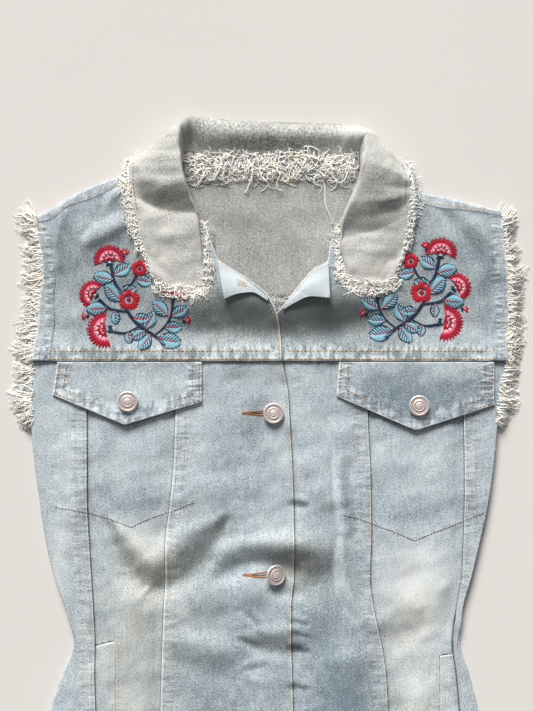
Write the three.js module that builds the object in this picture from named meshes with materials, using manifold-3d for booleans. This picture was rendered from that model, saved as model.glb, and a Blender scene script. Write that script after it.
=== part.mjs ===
// A sleeveless denim vest laid flat on a surface, front side up, with its frayed armholes and collar.
// Millimetres. +X is to the right of the laid front, +Y runs towards the collar and +Z is up from the surface.
// The origin lies on the surface, on the line between the shoulders' middle and the hem's, 9 mm above the
// front yoke seam. The words left and right are those of someone who looks down at the laid front.
import * as THREE from "three";
import { mergeVertices } from "three/addons/utils/BufferGeometryUtils.js";
import Module from "manifold-3d";

const CLOTH = 1.2; // one layer of denim
const COLLAR_CLOTH = 1.6; // the collar is two layers stitched together
const BAND_CLOTH = 0.8; // a turned edge that lies on its own panel
const STACK = 1.8; // middle of one layer to the middle of the layer on top of it
const LAP = 5; // how far one panel reaches under the next at a seam
const SEAM_GAP = 0.4; // clearance in plan where two pieces meet edge to edge
const HEM_Y = -444;
const YOKE_SEAM_Y = -9.3;
const ARMHOLE_BOTTOM_Y = -64;
const WAIST_Y = -245;
const RIGHT_DIP_Y = -227; // below here the right side panel sinks, to fold under its neighbour
const RIGHT_DIP_RUN = 14;
const BACK_SEAM_Y = 44; // the back yoke seam, on the inside between the fronts
const NECK_Y = 160.4; // the back neck seam
const EDGE_LEVEL = 5.5; // middle of the front layer above the surface, near the sides
const BODY_PUFF = 1.5; // what the front rises by away from the sides
const PUFF_REACH = 40;
const YOKE_RAISE = STACK + 0.2; // middle of a lower panel to the middle of the yoke that laps over it
const OVERLAP_LIFT = STACK + 0.3; // what the left front climbs by to lie on the right one
const FLAP_RAISE = STACK + 0.1; // middle of a front panel to the middle of the flap that lies on it
const NECK_RAISE = 2.4; // what the back rises by over the collar leaf that is folded under it
const RIGHT_HIDDEN_X = -14; // edge of the right front, under the left one
const BUTTON_RADIUS = 8.6;
const BUTTON_SIDES = 12;
const ARMHOLE_LOCKS = 36; // locks of loose threads on each frayed edge
const COLLAR_LOCKS = 30;
const NECK_LOCKS = 30;
const BACKING_WIDTH = 2.6;
const BACKING_CLOTH = 1;

const DENIM = { color: 0xb4c0c6, roughness: 0.92, metalness: 0 };
const INSIDE = { color: 0xb3b3ac, roughness: 0.94, metalness: 0 };
const FRAY = { color: 0xe6e0d2, roughness: 0.96, metalness: 0 };
const METAL = { color: 0xc9bfba, roughness: 0.35, metalness: 0.9 };

const wasm = await Module();
wasm.setup();

// Rows of numbers as records with named columns.
const table = (columns, rows) => rows.map(
  (row) => Object.fromEntries(columns.map((name, k) => [name, row[k]])),
);

// The seams of the body from the yoke seam to the hem, as x at each y. Rims are the outline; edges are
// where the front side panels end; outer and inner are the two long seams; front is the button edge.
const BODY = table(
  ["y", "leftRim", "leftEdge", "leftOuter", "leftInner", "front", "rightInner", "rightOuter", "rightEdge",
    "rightRim"],
  [
    [-9, -199.3, -199.3, -154.8, -79, 8.1, 78, 159.8, 196, 196],
    [-37, -200, -200, -154.4, -79.7, 13.5, 78.9, 159.4, 189.7, 189.7],
    [-64, -200.1, -199.6, -154, -80.5, 14.9, 79.9, 159.6, 186.8, 187.6],
    [-91, -198, -195, -153.6, -81.5, 16.6, 81.3, 160.2, 182.6, 185.1],
    [-125, -193.5, -190, -153.6, -84.2, 17.8, 82.2, 160.2, 177.6, 180.4],
    [-158, -188.4, -185, -152.1, -88.2, 18.3, 82.4, 159.4, 170.6, 173.3],
    [-187, -181.4, -178.6, -150.4, -88.6, 18.3, 81.2, 158.2, 163.8, 166.4],
    [-216, -171.8, -169.6, -148.6, -90, 15.8, 84.7, 153.4, 156.2, 158.6],
    [-245, -164.8, -162.8, -147.5, -91.1, 15.8, 90.9, 150.2, 154, 156.5],
    [-270, -174.1, -165.8, -147.7, -91.8, 16.6, 94.6, 153.1, 161.3, 163.9],
    [-300, -184.7, -166.3, -146.7, -92.6, 17.4, 96.3, 155.8, 168.8, 171.4],
    [-370, -202.5, -168.5, -145.3, -94.2, 18.3, 98.8, 161, 183.3, 185.9],
    [-444, -214, -170, -144.4, -95.5, 18.3, 100.4, 164.3, 194.9, 197.5],
  ],
);

// The armhole edges above the yoke seam, as x at each y.
const ARMHOLES = table(
  ["y", "left", "right"],
  [
    [-9, -199.3, 196], [8, -197.3, 194.8], [24, -194.6, 195.8], [43, -193.4, 197.2], [59, -190.7, 196.3],
    [75, -191.1, 194.4], [91, -194, 192.4], [112, -198, 191.9],
  ],
);

// The shoulders, as y at each x: the fold at the very top and the seam that lies just in front of it.
const SHOULDERS = table(
  ["x", "fold", "seam"],
  [
    [-199, 109.5, 106.5], [-183, 117.5, 109], [-168, 127, 120.5], [-148, 136.5, 127], [-125, 145, 138],
    [-101, 153.5, 147], [-79, 163, 157], [79, 162, 156], [102, 146, 139], [125, 130.5, 122],
    [146, 126.3, 117.8], [166, 121.5, 116.2], [193, 115, 111.5],
  ],
);

// The free edges of the front yokes: up the button edge, along the turned-back fold and up the neck.
const NECKLINES = {
  left: table(["x", "y"], [
    [8.1, -9.3], [7.2, 9], [5.3, 25], [-2.3, 43.4], [-20.4, 58.6], [-36.6, 69], [-44.8, 75],
    [-49.8, 88], [-55.6, 100.4], [-61.4, 110.4], [-68, 124.5], [-73.9, 141], [-78, 156],
  ]),
  right: table(["x", "y"], [
    [-14, -9.3], [-10, 12], [-3, 24], [5.3, 32], [20.6, 51], [35.7, 68], [46.3, 74],
    [47.8, 84], [50.5, 94], [61.4, 116.2], [68, 132.8], [73.9, 146], [78, 155],
  ]),
};

// Soft folds of the laid front: a ridge, or a trough where rise is below 0, along a line.
const FOLDS = table(
  ["x0", "y0", "x1", "y1", "rise", "width"],
  [
    [-136, -141, -106, -198, -1.6, 9],
    [-106, -198, -76, -196, -1.5, 9],
    [-72, -186, -43, -143, -2, 12],
    [-124, -152, -100, -170, 3.2, 11],
    [-84, -126, -28, -112, 2.6, 14],
    [-60, -208, -12, -199, 3, 13],
    [-50, -178, 6, -168, -1.6, 10],
    [-62, -250, -40, -330, 2.4, 15],
    [-120, -210, -112, -300, 2.8, 15],
    [36, -158, 46, -190, -1.8, 13],
    [30, -95, 47, -124, 3.4, 10],
    [47, -124, 62, -200, 3.8, 10],
    [84, -208, 112, -228, -1.8, 13],
    [108, -150, 136, -196, 3, 18],
    [60, -262, 66, -352, 3.2, 16],
    [122, -290, 128, -420, 2.6, 14],
    [-160, -80, -164, -140, 1.6, 12],
    [-174, 112, -181, 72, 2.2, 8],
    [-155, 95, -134, 104, 2.2, 10],
    [131, 116, 154, 92, 2.6, 10],
    [154, 92, 176, 60, 3, 11],
    [176, 60, 188, 8, 2.2, 10],
  ],
);

// The collar from its left front end round the back to its right front end. At each station the cloth
// runs from the neck seam up to the roll, over it by the bulge, down the middle of the leaf to the rim.
const COLLAR = table(
  ["neckX", "neckY", "rollX", "rollY", "rollZ", "bulgeX", "bulgeY", "bulgeZ", "midX", "midY", "midZ",
    "rimX", "rimY", "rimZ"],
  [
    [-56, 54.5, -60, 53, 12.2, -67, 51.8, 12.6, -80, 51, 11.8, -98, 60.5, 10.2],
    [-57.5, 73, -61.5, 73, 13.4, -69, 72, 13.8, -83, 71, 13.2, -103, 73, 10.2],
    [-59, 91, -63.5, 91.5, 15.4, -71, 90, 15.6, -86, 87, 14.4, -107.5, 85, 10.2],
    [-61.5, 111, -66, 113.5, 18.4, -74.5, 110, 18.4, -91, 104, 16.4, -112.5, 100, 10.6],
    [-67.5, 127, -71.5, 127, 21.4, -80, 125, 21.2, -96, 121.5, 18.2, -116.5, 118, 10.8],
    [-72, 141, -75.5, 141.5, 24, -84, 140.5, 23.6, -100, 138, 19, -118.5, 135.5, 10.4],
    [-75, 153, -77.2, 158, 25, -86.5, 157, 24, -102, 154.5, 17.5, -118, 151.5, 6.5],
    [-73.8, 162.9, -79.6, 172, 23, -88, 171, 20.5, -100, 168.5, 10, -110, 162, 1.4],
    [-72.5, 164, -78.5, 184, 17.5, -85.5, 184, 12.5, -92, 176, 2.2, -95, 146, 0.8],
    [-68.5, 163.8, -73, 190.5, 10.5, -77.5, 190.8, 6.5, -80, 186, 1.6, -79, 135, 0.8],
    [-60, 162.5, -65, 192, 5.4, -66.3, 194.6, 3, -66.5, 191, 0.85, -62, 129.5, 0.8],
    [-31, 162, -31, 188.5, 4.1, -31, 191.4, 2.45, -31, 188, 0.8, -31, 127, 0.8],
    [0, 162, 0, 187, 4.1, 0, 190, 2.45, 0, 186.6, 0.8, 0, 126, 0.8],
    [27, 162, 27, 186.5, 4.1, 27, 189.5, 2.45, 27, 186, 0.8, 27, 126, 0.8],
    [55, 162.5, 58, 184.5, 4.8, 58, 188, 2.6, 58, 184.5, 0.8, 58, 128.5, 0.8],
    [67, 163.8, 76, 183, 9.5, 79, 184, 6, 81, 179.5, 1.6, 78, 133, 0.8],
    [71.5, 164, 81, 177.5, 16.5, 87, 177.5, 11.5, 92.5, 170, 2.2, 97, 142, 0.8],
    [73, 162.7, 79.8, 166.5, 22, 87, 166, 19.5, 98, 163, 10, 106.5, 156.5, 1.4],
    [73.8, 152, 76, 154, 24.5, 85, 153, 23.5, 98.5, 150.5, 16.5, 112.5, 147, 6],
    [70.5, 137.5, 72.6, 136, 23, 81, 135, 22.4, 96, 133.5, 18.2, 114.5, 134.5, 10.2],
    [63, 121, 66, 119.5, 20.5, 75, 118.5, 20, 91, 117.5, 17, 114.5, 119, 10.6],
    [57.5, 104, 60.6, 102, 17.4, 69.5, 101, 17.2, 87, 100, 15.4, 113.3, 102, 10.4],
    [56.5, 88, 60.2, 87, 15, 68, 86, 15, 84, 84.5, 14, 110, 85.5, 10],
    [59.5, 73, 63.5, 72, 13.4, 70, 70.5, 13.4, 84, 69, 12.8, 105.5, 72, 10],
    [61.5, 59, 65.5, 58.5, 12.2, 71, 56.5, 12.4, 84, 54, 11.6, 99, 56, 10.2],
  ],
);
const COLLAR_KNOTS = table(
  ["at", "name"],
  [[0, "neck"], [0.24, "roll"], [0.36, "bulge"], [0.6, "mid"], [1, "rim"]],
);

// The frayed rim of the collar: how long its locks are along it, from the shoulder down the outer edge,
// round the corner, along the bottom and up the front.
const COLLAR_FRAY = {
  left: table(["at", "length"], [
    [0, 9], [0.12, 11], [0.3, 7], [0.42, 2.5], [0.55, 3], [0.63, 15], [0.8, 13], [0.87, 9], [1, 6],
  ]),
  right: table(["at", "length"], [
    [0, 8], [0.12, 13], [0.3, 8], [0.42, 3], [0.55, 3], [0.63, 11], [0.8, 12], [0.87, 10], [1, 6],
  ]),
};

// The chest pocket flaps: corners from the outer top round the point to the inner top.
const FLAPS = {
  left: table(["x", "y"], [[-177.8, -10], [-182.4, -37], [-122, -62.3], [-58.3, -43], [-58.3, -10]]),
  right: table(["x", "y"], [[55.5, -10], [53.5, -38.2], [119.1, -67], [184.4, -45.6], [184.4, -10]]),
};
// The side pockets' welts: along the outer seam, from the top down. Slope is the top edge's rise outwards.
const WELTS = {
  left: { inner: -130, top: -241, slope: -0.31, bottom: -390 },
  right: { inner: 139.4, top: -254, slope: 0.14, bottom: -398 },
};
// The turned-back corner at the top of each front: its fold line and its free edge, from the lower end.
const FACINGS = {
  left: {
    fold: table(["x", "y"], [[-2.6, 42.6], [-20.8, 57.6], [-37, 68], [-45.3, 74.2]]),
    free: table(["x", "y"], [[-3.6, 40.6], [-17, 47.5], [-28, 46.2], [-39.5, 41.7]]),
    lift: 1.4,
  },
  right: {
    fold: table(["x", "y"], [[8.5, 34.8], [21.4, 50.4], [36.4, 67], [46.8, 72.8]]),
    free: table(["x", "y"], [[9.6, 33.6], [18, 38.6], [32, 44], [47.7, 42.4]]),
    lift: 2.6,
  },
};
const BUTTONS = table(
  ["name", "x", "y", "lean"],
  [
    ["button_flap_left", -119.5, -42.5, 0],
    ["button_flap_right", 121.5, -46, 0],
    ["button_front_1", 1.2, -52.3, 0],
    ["button_front_2", 2, -186.5, 24],
    ["button_front_3", 2, -320, 0],
  ],
);

const clamp01 = (t) => Math.min(1, Math.max(0, t));
const smooth = (t) => clamp01(t) * clamp01(t) * (3 - 2 * clamp01(t));
const mix = (a, b, t) => a + (b - a) * t;
const steps = (count) => Array.from({ length: count + 1 }, (_, i) => i / count);

// The smooth value of one column of a table at a value of its key column, with no overshoot.
function along(rowsGiven, key, column, at) {
  const rising = rowsGiven[0][key] < rowsGiven[rowsGiven.length - 1][key];
  const rows = rising ? rowsGiven : [...rowsGiven].reverse();
  const last = rows.length - 1;
  const here = Math.min(Math.max(at, rows[0][key]), rows[last][key]);
  let i = 0;
  while (i < last - 1 && here > rows[i + 1][key]) i += 1;
  const slope = (k) => (rows[k + 1][column] - rows[k][column]) / (rows[k + 1][key] - rows[k][key]);
  const tangent = (k) => {
    if (k === 0) return slope(0);
    if (k === last) return slope(last - 1);
    const before = slope(k - 1);
    const after = slope(k);
    return before * after <= 0 ? 0 : (2 * before * after) / (before + after);
  };
  const span = rows[i + 1][key] - rows[i][key];
  const t = (here - rows[i][key]) / span;
  return mix(rows[i][column], rows[i + 1][column], smooth(t))
    + span * t * (1 - t) * (tangent(i) * (1 - t) - tangent(i + 1) * t);
}

const body = (column, y) => along(BODY, "y", column, y);
const armhole = (side, y) => along(ARMHOLES, "y", side, y);
const rim = (side, y) => (y > YOKE_SEAM_Y ? armhole(side, y) : body(side + "Rim", y));
const shoulder = (column, x) => along(SHOULDERS, "x", column, x);
const inwards = (side) => (side === "left" ? 1 : -1);

// Height of a ridge or trough at a point.
function foldAt(fold, x, y) {
  const dx = fold.x1 - fold.x0;
  const dy = fold.y1 - fold.y0;
  const t = clamp01(((x - fold.x0) * dx + (y - fold.y0) * dy) / (dx * dx + dy * dy));
  const away = Math.hypot(x - fold.x0 - t * dx, y - fold.y0 - t * dy);
  return fold.rise * Math.exp(-((away / fold.width) ** 2));
}

// Near the neck the back rises over the collar leaf that is folded under it.
const neckNear = (x, y) => smooth((y - 97) / 24) * (1 - smooth((Math.abs(x) - 116) / 40));
const backLevel = (x, y) => CLOTH / 2 + NECK_RAISE * neckNear(x, y);

// The left front climbs over the right one, and over the right yoke's seam too.
function overlapLift(x, y) {
  const above = y - YOKE_SEAM_Y;
  const seam = above > 0 ? 1 - smooth((above - 6) / 22) : 1 - smooth((-above - 3) / 18);
  return smooth((x + 62) / 46) * (OVERLAP_LIFT + YOKE_RAISE * seam);
}

// Middle of the front layer above the surface.
function frontLevel(x, y, side) {
  const inside = Math.min(x - rim("left", y), rim("right", y) - x, shoulder("fold", x) - y + 4);
  const settle = smooth((inside - 2) / 16);
  const folds = FOLDS.reduce((sum, fold) => sum + foldAt(fold, x, y), 0);
  return EDGE_LEVEL + BODY_PUFF * smooth(inside / PUFF_REACH) + 0.85 * NECK_RAISE * neckNear(x, y) + folds * settle
    + (side === "left" ? overlapLift(x, y) : 0);
}

// The front yoke laps over the lower panels and settles again above the seam.
const yokeLevel = (x, y, side) => frontLevel(x, y, side) + YOKE_RAISE * (1 - smooth((y - YOKE_SEAM_Y - 6) / 22));

// Below the waist the right side panel folds under its neighbour and flares out on the surface.
function sidePanelLevel(x, y, side) {
  const dips = side === "left" ? 0 : smooth((RIGHT_DIP_Y - y) / RIGHT_DIP_RUN);
  const base = mix(frontLevel(x, y, "side"), EDGE_LEVEL, dips * 0.5);
  return base - dips * STACK;
}

// The way out of a grid of points at one of them.
function outOf(grid, i, j) {
  const within = (k, count) => Math.min(Math.max(k, 0), count - 1);
  const at = (a, b) => grid[within(a, grid.length)][within(b, grid[0].length)];
  const across = at(i, j + 1).clone().sub(at(i, j - 1));
  const up = at(i + 1, j).clone().sub(at(i - 1, j));
  return across.cross(up).normalize();
}

// A copy of some of a grid's points, moved out from it.
const movedOut = (grid, rows, columns, distance) => rows.map((i) => columns.map(
  (j) => grid[i][j].clone().addScaledVector(outOf(grid, i, j), distance),
));

// A closed cloth wall round a grid of middle points, thickened both ways along the surface.
function wall(grid, thickness) {
  const rows = grid.length;
  const columns = grid[0].length;
  const positions = [];
  for (const way of [1, -1]) {
    for (let i = 0; i < rows; i += 1) {
      for (let j = 0; j < columns; j += 1) {
        const point = grid[i][j].clone().addScaledVector(outOf(grid, i, j), (way * thickness) / 2);
        positions.push(...point.toArray());
      }
    }
  }
  const index = [];
  const top = (i, j) => i * columns + j;
  const under = (i, j) => rows * columns + i * columns + j;
  const quad = (a, b, c, d) => index.push(a, b, c, a, c, d);
  for (let i = 0; i < rows - 1; i += 1) {
    for (let j = 0; j < columns - 1; j += 1) {
      quad(top(i, j), top(i, j + 1), top(i + 1, j + 1), top(i + 1, j));
      quad(under(i, j), under(i + 1, j), under(i + 1, j + 1), under(i, j + 1));
    }
  }
  const last = columns - 1;
  for (let j = 0; j < last; j += 1) {
    quad(under(0, j), under(0, j + 1), top(0, j + 1), top(0, j));
    quad(top(rows - 1, j), top(rows - 1, j + 1), under(rows - 1, j + 1), under(rows - 1, j));
  }
  for (let i = 0; i < rows - 1; i += 1) {
    quad(top(i, 0), top(i + 1, 0), under(i + 1, 0), under(i, 0));
    quad(under(i, last), under(i + 1, last), top(i + 1, last), top(i, last));
  }
  const geometry = new THREE.BufferGeometry();
  geometry.setAttribute("position", new THREE.Float32BufferAttribute(positions, 3));
  geometry.setIndex(index);
  return geometry;
}

function toSolid(geometry) {
  const plain = geometry.clone();
  plain.deleteAttribute("normal");
  plain.deleteAttribute("uv");
  const merged = mergeVertices(plain, 1e-4);
  return new wasm.Manifold(new wasm.Mesh({
    numProp: 3,
    vertProperties: merged.attributes.position.array,
    triVerts: new Uint32Array(merged.index.array),
  }));
}

function toGeometry(solid) {
  const mesh = solid.getMesh();
  const geometry = new THREE.BufferGeometry();
  geometry.setAttribute("position", new THREE.BufferAttribute(new Float32Array(mesh.vertProperties), 3));
  geometry.setIndex(new THREE.BufferAttribute(new Uint32Array(mesh.triVerts), 1));
  return geometry;
}

function addPiece(group, name, geometry, look) {
  const mesh = new THREE.Mesh(geometry, new THREE.MeshStandardMaterial(look));
  mesh.name = name;
  group.add(mesh);
}

// A smooth line through table points, walked at an even pace.
function pathOf(points) {
  const curve = new THREE.CatmullRomCurve3(points.map((p) => new THREE.Vector3(p.x, p.y, p.z ?? 0)));
  curve.arcLengthDivisions = 400;
  return (share) => curve.getPointAt(clamp01(share));
}

// How far the back body reaches under the front's side panel, from the left or right edge.
const WRAP_TUCK = 5;
const FLARE_TUCK = 11;
const LOW_WRAP = 2.2; // the lowest that the tucked layer can lie on its own back

// One side's wrap of the back body at a height: flat tip under the front, round the rim, out to the flat.
function wrapLine(side, y) {
  const way = inwards(side);
  const outer = rim(side, y);
  const edge = body(side + "Edge", y);
  const flare = side === "left" ? smooth((WAIST_Y - 4 - y) / 30) : 0;
  const tip = edge + way * mix(WRAP_TUCK, FLARE_TUCK, flare);
  const crowded = smooth((20 - Math.abs(edge - body(side + "Outer", y))) / 5);
  const under = mix(sidePanelLevel(edge + way * 2, y, side) - STACK, LOW_WRAP, crowded);
  const radius = (Math.max(LOW_WRAP, under) - CLOTH / 2) / 2;
  const bend = outer + way * radius;
  const line = [1, 0.5].map((share) => new THREE.Vector3(mix(bend, tip, share), y, CLOTH / 2 + 2 * radius));
  for (const share of [0, 1 / 3, 2 / 3, 1]) {
    const angle = Math.PI * (0.5 + share);
    const z = CLOTH / 2 + radius * (1 + Math.sin(angle));
    line.push(new THREE.Vector3(bend + way * radius * Math.cos(angle), y, z));
  }
  return line;
}

// The back body: flat on the surface, curled up round each side and tucked under the front's side panels.
function backBody() {
  const levels = [HEM_Y, -408, -370, -334, -300, -276, -258, -244, -228, -208, -180, -146, -110, -80,
    ARMHOLE_BOTTOM_Y - 0.8, ARMHOLE_BOTTOM_Y + 0.8, -36, YOKE_SEAM_Y, 16, BACK_SEAM_Y - SEAM_GAP];
  const flatSteps = [0.4, 0.9, 1.6, 3, 5, 7];
  const grid = levels.map((y) => {
    const sideLine = (side) => {
      if (y < ARMHOLE_BOTTOM_Y) return wrapLine(side, y);
      return flatSteps.map((d) => new THREE.Vector3(rim(side, y) + inwards(side) * d, y, CLOTH / 2));
    };
    const left = rim("left", y) + 12;
    const right = rim("right", y) - 12;
    const middle = steps(3).map((share) => new THREE.Vector3(mix(left, right, share), y, CLOTH / 2));
    return [...sideLine("left"), ...middle, ...sideLine("right").reverse()];
  });
  return wall(grid, CLOTH);
}

// The back yoke: up from its seam to the neck, and over each shoulder to the front.
function backYoke() {
  const shoulders = [-199, -191, -183, -174, -164, -148, -125, -101, -86, -79,
    79, 88, 102, 125, 146, 166, 180, 192];
  const necks = [-76.5, -52, -26, 0, 26, 52, 76.5];
  const columns = [...shoulders, ...necks].sort((a, b) => a - b);
  const first = columns[0];
  const span = columns[columns.length - 1] - first;
  const lines = columns.map((x) => {
    const wraps = shoulders.includes(x);
    const foldY = wraps ? shoulder("fold", x) : NECK_Y;
    const low = backLevel(x, foldY - 2);
    const radius = wraps ? (yokeLevel(x, shoulder("seam", x), "none") - STACK - low) / 2 : 0;
    const top = foldY - radius;
    const line = [0, 0.25, 0.5, 0.7, 0.85, 1].map((v) => {
      const y = mix(BACK_SEAM_Y + SEAM_GAP, top, v);
      const px = mix(mix(armhole("left", y), armhole("right", y), (x - first) / span), x, smooth((y - 60) / 40));
      return new THREE.Vector3(px, y, backLevel(px, y));
    });
    line[line.length - 1].z = low;
    for (const share of [0.25, 0.5, 0.75, 1]) {
      const angle = Math.PI * (share - 0.5);
      line.push(wraps
        ? new THREE.Vector3(x, top + radius * Math.cos(angle), low + radius * (1 + Math.sin(angle)))
        : new THREE.Vector3(x, top + 0.3 * share, low));
    }
    const end = wraps ? shoulder("seam", x) - LAP : top + 0.6;
    line.push(new THREE.Vector3(x, end, low + 2 * radius));
    return line;
  });
  return wall(lines[0].map((_, k) => lines.map((line) => line[k])), CLOTH);
}

const LOWER_ROWS = [HEM_Y, -414, -384, -352, -320, -292, -270, -255, -241, -227, -213, -199, -184, -169,
  -154, -138, -120, -98, -72, -46, -24, YOKE_SEAM_Y + LAP];

// Places across a panel: both edges, a place a little in from each, and even steps between those.
function spread(from, to, insetFrom, insetTo, count) {
  const way = Math.sign(to - from);
  const start = from + way * insetFrom;
  const end = to - way * insetTo;
  return [from, ...steps(count).map((share) => mix(start, end, share)), to];
}

// A panel below the yoke. The places give each row's x from left to right.
const lowerPanel = (places, level) => LOWER_ROWS.map(
  (y) => places(y).map((x) => new THREE.Vector3(x, y, level(x, y))),
);

function sidePanel(side) {
  const level = (x, y) => sidePanelLevel(x, y, side);
  if (side === "left") {
    return lowerPanel((y) => {
      const [edge, seam] = [body("leftEdge", y) + 0.2, body("leftOuter", y)];
      return [edge, mix(edge, seam, 0.4), seam - LAP, seam];
    }, level);
  }
  return lowerPanel((y) => {
    const apart = SEAM_GAP * smooth((RIGHT_DIP_Y + RIGHT_DIP_RUN - y) / RIGHT_DIP_RUN);
    const under = mix(apart, -7, smooth((RIGHT_DIP_Y - 2 * RIGHT_DIP_RUN - y) / RIGHT_DIP_RUN));
    const [seam, edge] = [body("rightOuter", y) + under, body("rightEdge", y) - 0.2];
    return [seam, mix(seam, edge, 0.3), mix(seam, edge, 0.65), edge];
  }, level);
}

// How far a middle panel is below its neighbours at a point near one of its two seams.
function seamSink(side, x, y) {
  const way = inwards(side);
  const fromOuter = (x - body(side + "Outer", y)) * way;
  const fromInner = (body(side + "Inner", y) - x) * way;
  const outerSinks = side === "left" ? 1 : 1 - smooth((RIGHT_DIP_Y - y) / RIGHT_DIP_RUN);
  return STACK * Math.max((1 - smooth((fromOuter - 2) / 12)) * outerSinks, 1 - smooth((fromInner - 2) / 12));
}

// The line where a middle panel ends under its side panel, or beside it where the side panel is narrow.
function outerLap(side, y) {
  if (side === "left") return body("leftOuter", y) - LAP;
  const room = body("rightEdge", y) - body("rightOuter", y);
  const lap = Math.min(LAP, room - 1);
  const ends = smooth((RIGHT_DIP_Y + RIGHT_DIP_RUN - y) / RIGHT_DIP_RUN);
  return body("rightOuter", y) + mix(lap, -SEAM_GAP, ends);
}

const weltTop = (side, x) => WELTS[side].top + WELTS[side].slope * Math.abs(x - WELTS[side].inner);

// A middle panel lies under both its neighbours at its seams, and is cut out round its pocket's welt.
function middlePanel(side) {
  const way = inwards(side);
  const level = (x, y) => frontLevel(x, y, "middle") - seamSink(side, x, y);
  const grid = lowerPanel((y) => {
    const outer = outerLap(side, y);
    const fromSeam = Math.abs(outer - body(side + "Outer", y)) + 2;
    const places = spread(outer, body(side + "Inner", y) + way * LAP, fromSeam, LAP + 2, 4);
    return side === "left" ? places : places.reverse();
  }, level);
  const { inner, bottom } = WELTS[side];
  const far = inner - way * 45;
  const corners = [[inner, weltTop(side, inner)], [inner, bottom], [far, bottom], [far, weltTop(side, far)]];
  const cut = new THREE.Shape(corners.map(([x, y]) => new THREE.Vector2(x, y)));
  const prism = new THREE.ExtrudeGeometry(cut, { depth: 40, bevelEnabled: false }).translate(0, 0, -5);
  return toGeometry(toSolid(wall(grid, CLOTH)).subtract(toSolid(prism)));
}

// The strip that fills a side pocket's opening.
function welt(side) {
  const { inner, bottom } = WELTS[side];
  const way = inwards(side);
  const grid = steps(9).map((v) => steps(2).map((w) => {
    const u = side === "left" ? w : 1 - w;
    const y0 = mix(bottom, weltTop(side, inner), v);
    const x = mix(outerLap(side, y0) + way * 0.2, inner - way * SEAM_GAP, u);
    const y = mix(bottom + SEAM_GAP, weltTop(side, x) - SEAM_GAP, v);
    return new THREE.Vector3(x, y, frontLevel(x, y, "middle") - seamSink(side, x, y));
  }));
  return wall(grid, CLOTH);
}

function centrePanel(side) {
  const level = (x, y) => frontLevel(x, y, side);
  if (side === "left") {
    return lowerPanel((y) => spread(body("leftInner", y), body("front", y), LAP, 0, 5).slice(0, -1), level);
  }
  return lowerPanel((y) => spread(RIGHT_HIDDEN_X, body("rightInner", y), 0, LAP, 5).slice(1), level);
}

// A front yoke fills the space between its seam, its armhole, its shoulder seam and its neckline.
// Its rows run up from the seam and its columns inwards from the armhole.
function frontYoke(side) {
  const way = inwards(side);
  const topX = side === "left" ? -197.6 : 191.8;
  const arm = pathOf([
    { x: armhole(side, YOKE_SEAM_Y) + way * 0.2, y: YOKE_SEAM_Y },
    ...ARMHOLES.slice(1, -1).map((row) => ({ x: row[side] + way * 0.2, y: row.y })),
    { x: topX, y: shoulder("seam", topX) },
  ]);
  const neck = pathOf(NECKLINES[side]);
  const seam = (u) => new THREE.Vector3(mix(arm(0).x, neck(0).x, u), YOKE_SEAM_Y, 0);
  const top = (u) => {
    const x = mix(arm(1).x, neck(1).x, u);
    return new THREE.Vector3(x, shoulder("seam", x), 0);
  };
  const shares = [0, 0.03, 0.065, 0.11, 0.17, 0.25, 0.35, 0.46, 0.58, 0.69, 0.78, 0.86, 0.93, 1];
  return steps(13).map((v) => shares.map((u) => {
    const point = arm(v).lerp(neck(v), u).add(seam(u).lerp(top(u), v))
      .sub(seam(0).lerp(seam(1), u).lerp(top(0).lerp(top(1), u), v));
    point.z = yokeLevel(point.x, point.y, side);
    return point;
  }));
}

// A grid that runs the other way across, for the side where its columns would turn it inside out.
const turned = (grid) => grid.map((row) => [...row].reverse());

// A flap hangs from the yoke seam over the chest pocket: straight sides and a pointed lower edge.
function flap(side) {
  const [topLeft, sideLeft, point, sideRight, topRight] = FLAPS[side];
  const knee = (point.x - sideLeft.x) / (sideRight.x - sideLeft.x);
  return steps(4).map((v) => steps(10).map((u) => {
    const [from, to] = u < knee ? [sideLeft, point] : [point, sideRight];
    const half = u < knee ? u / knee : (u - knee) / (1 - knee);
    const x = mix(mix(from.x, to.x, half), mix(topLeft.x, topRight.x, u), v);
    const y = mix(mix(from.y, to.y, half), topLeft.y, v);
    return new THREE.Vector3(x, y, frontLevel(x, y, "none") + FLAP_RAISE);
  }));
}

// A turned-back corner, which shows its facing: from the fold to the free edge.
function facing(side) {
  const fold = pathOf(FACINGS[side].fold);
  const free = pathOf(FACINGS[side].free);
  return steps(6).map((u) => steps(4).map((v) => {
    const point = fold(u).lerp(free(u), v);
    const swell = smooth(u * 1.5) * smooth(v * 2);
    point.z = yokeLevel(point.x, point.y, side) + STACK + 0.3 + FACINGS[side].lift * swell;
    return point;
  }));
}

// The collar's cloth at a station and at a share of its way across, from the neck seam to the rim.
function collarPoint(s, share) {
  const rows = COLLAR.map((row, k) => ({ at: k / (COLLAR.length - 1), ...row }));
  const column = (name) => along(rows, "at", name, s);
  const neckY = column("neckY");
  const side = s < 0.5 ? "left" : "right";
  const front = yokeLevel(column("neckX"), Math.min(neckY, 154), side) + 1.9;
  const atBack = smooth((neckY - 154) / 7);
  const heights = { neck: mix(front, backLevel(0, NECK_Y) + 0.7, atBack), rim: column("rimZ") };
  for (const name of ["roll", "bulge", "mid"]) heights[name] = column(name + "Z");
  const knots = COLLAR_KNOTS.map(({ at, name }) => ({
    at, x: column(name + "X"), y: column(name + "Y"), z: heights[name],
  }));
  return new THREE.Vector3(...["x", "y", "z"].map((axis) => along(knots, "at", axis, share)));
}

function collar() {
  const across = [0, 0.12, 0.24, 0.3, 0.36, 0.48, 0.6, 0.8, 1];
  return steps(40).map((s) => across.map((share) => collarPoint(s, share)));
}

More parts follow.
